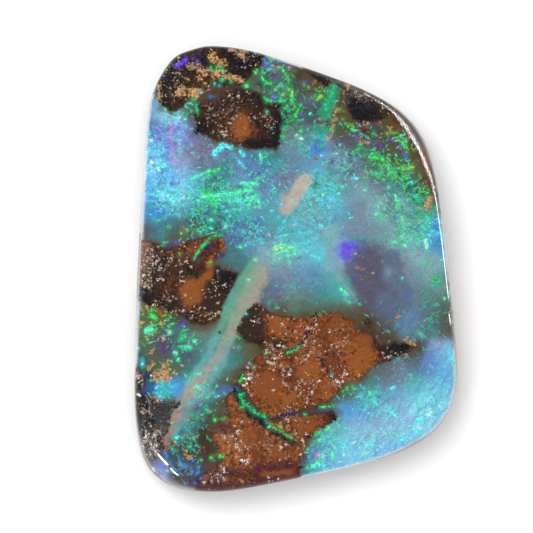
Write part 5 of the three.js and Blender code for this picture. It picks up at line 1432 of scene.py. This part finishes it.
def polished_boulder_opal():
    """Opal and bare ironstone, polished together."""
    material = bpy.data.materials.new("polished_boulder_opal")
    material.use_nodes = True
    board = Board(material.node_tree, {"edge": ragged_edge_group(), "flecks": flecks_group()})
    shader = material.node_tree.nodes["Principled BSDF"]
    place = board.moved(board.node("TexCoord").outputs["Object"], stretch=(1 / MM, 1 / MM, 1 / MM))

    ironstone = board.ragged("ironstone", place, 4.0, 0.8, 0.03)
    colour = board.mix(ironstone, opal_colour(board, place), ironstone_colour(board, place))
    rim = board.ramp(board.math("ABSOLUTE", board.value("ironstone_depth")), 0.16, 0.0)
    rim = board.times(rim, board.ramp(board.noise(place, 1.4), 0.35, 0.6, 0.15, 0.7))
    colour = board.mix(rim, colour, DARK_RIM)
    colour = with_flashes(board, place, with_patches(board, place, colour))
    board.feed(shader.inputs["Base Color"], colour)

    polish = board.varied(place, 3, 0.06, 0.12, 4.0, 0.5)
    dull = board.varied(place, 6, 0.05, 0.15, 3.0, 0.5)
    board.feed(shader.inputs["Roughness"], board.between(ironstone, polish, dull))

    relief = board.times(board.math("SUBTRACT", board.noise(place, 5.0, 5.0, 0.7), 0.5), ironstone)
    bump = board.node("Bump", Strength=0.4, Distance=RELIEF * MM, Height=relief)
    board.feed(shader.inputs["Normal"], bump.outputs[0])
    shader.inputs["Specular IOR Level"].default_value = 0.5
    return material


def plain_floor():
    """A wide pale floor under the stone."""
    shape = bmesh.new()
    bmesh.ops.create_grid(shape, x_segments=1, y_segments=1, size=FLOOR_REACH)
    mesh = bpy.data.meshes.new("floor")
    shape.to_mesh(mesh)
    shape.free()
    floor = bpy.data.objects.new("floor", mesh)
    bpy.context.scene.collection.objects.link(floor)
    mesh.materials.append(matt_white())
    return floor


def matt_white():
    material = bpy.data.materials.new("matt_white")
    material.use_nodes = True
    shader = material.node_tree.nodes["Principled BSDF"]
    shader.inputs["Base Color"].default_value = (0.93, 0.93, 0.93, 1)
    shader.inputs["Roughness"].default_value = 0.9
    shader.inputs["Specular IOR Level"].default_value = 0.1
    return material


def lamp(name, direction, height, distance, size, strength, in_gloss):
    """A lamp that faces the stone. A lamp either lights its surfaces or shows in its gloss."""
    light = bpy.data.lights.new(name, "AREA")
    light.shape = "RECTANGLE"
    light.size, light.size_y = size
    light.energy = strength * math.pi * size[0] * size[1]
    lamp_object = bpy.data.objects.new(name, light)
    bpy.context.scene.collection.objects.link(lamp_object)
    turn = math.radians(direction)
    rise = math.radians(height)
    way = Vector((math.cos(turn) * math.cos(rise), math.sin(turn) * math.cos(rise), math.sin(rise)))
    lamp_object.location = way * distance
    lamp_object.rotation_euler = (-way).to_track_quat("-Z", "Y").to_euler()
    lamp_object.visible_camera = False
    lamp_object.visible_glossy = in_gloss
    lamp_object.visible_diffuse = not in_gloss


def surroundings():
    """Pale all round, dark overhead and dark toward one side."""
    world = bpy.data.worlds.new("studio")
    bpy.context.scene.world = world
    world.use_nodes = True
    board = Board(world.node_tree)
    background = world.node_tree.nodes["Background"]
    ways = board.node("TexCoord").outputs["Generated"]
    height = board.node("SeparateXYZ", Vector=ways).outputs["Z"]
    sky = board.mix(board.ramp(height, 0.25, 0.9), (1, 1, 1, 1), (0.08, 0.08, 0.08, 1))
    toward = board.vectors("DOT_PRODUCT", ways, (math.cos(DARK_SIDE), math.sin(DARK_SIDE), 0))["Value"]
    board.feed(background.inputs["Color"], board.scaled(sky, board.ramp(toward, 0.45, 0.85, 1.0, 0.1)))
    background.inputs["Strength"].default_value = 1.0


def camera():
    """Straight above the stone, from far enough away that its wall shows as little as in the photograph."""
    data = bpy.data.cameras.new("camera")
    data.lens = LENS
    data.sensor_width = SENSOR
    data.clip_start = 0.01
    data.clip_end = 20
    view = bpy.data.objects.new("camera", data)
    bpy.context.scene.collection.objects.link(view)
    x, y = PICTURE_MIDDLE
    above = PICTURE_WIDTH * MM * LENS / SENSOR
    view.location = (x * MM, y * MM, GIRDLE_HEIGHT * MM + above)
    bpy.context.scene.camera = view


for settings in LAMPS:
    lamp(*settings)
surroundings()
bpy.context.scene.view_settings.view_transform = "Standard"
camera()
plain_floor()
opal = build_stone()
opal.data.materials.append(polished_boulder_opal())
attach(opal, "root")
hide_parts(STONE)
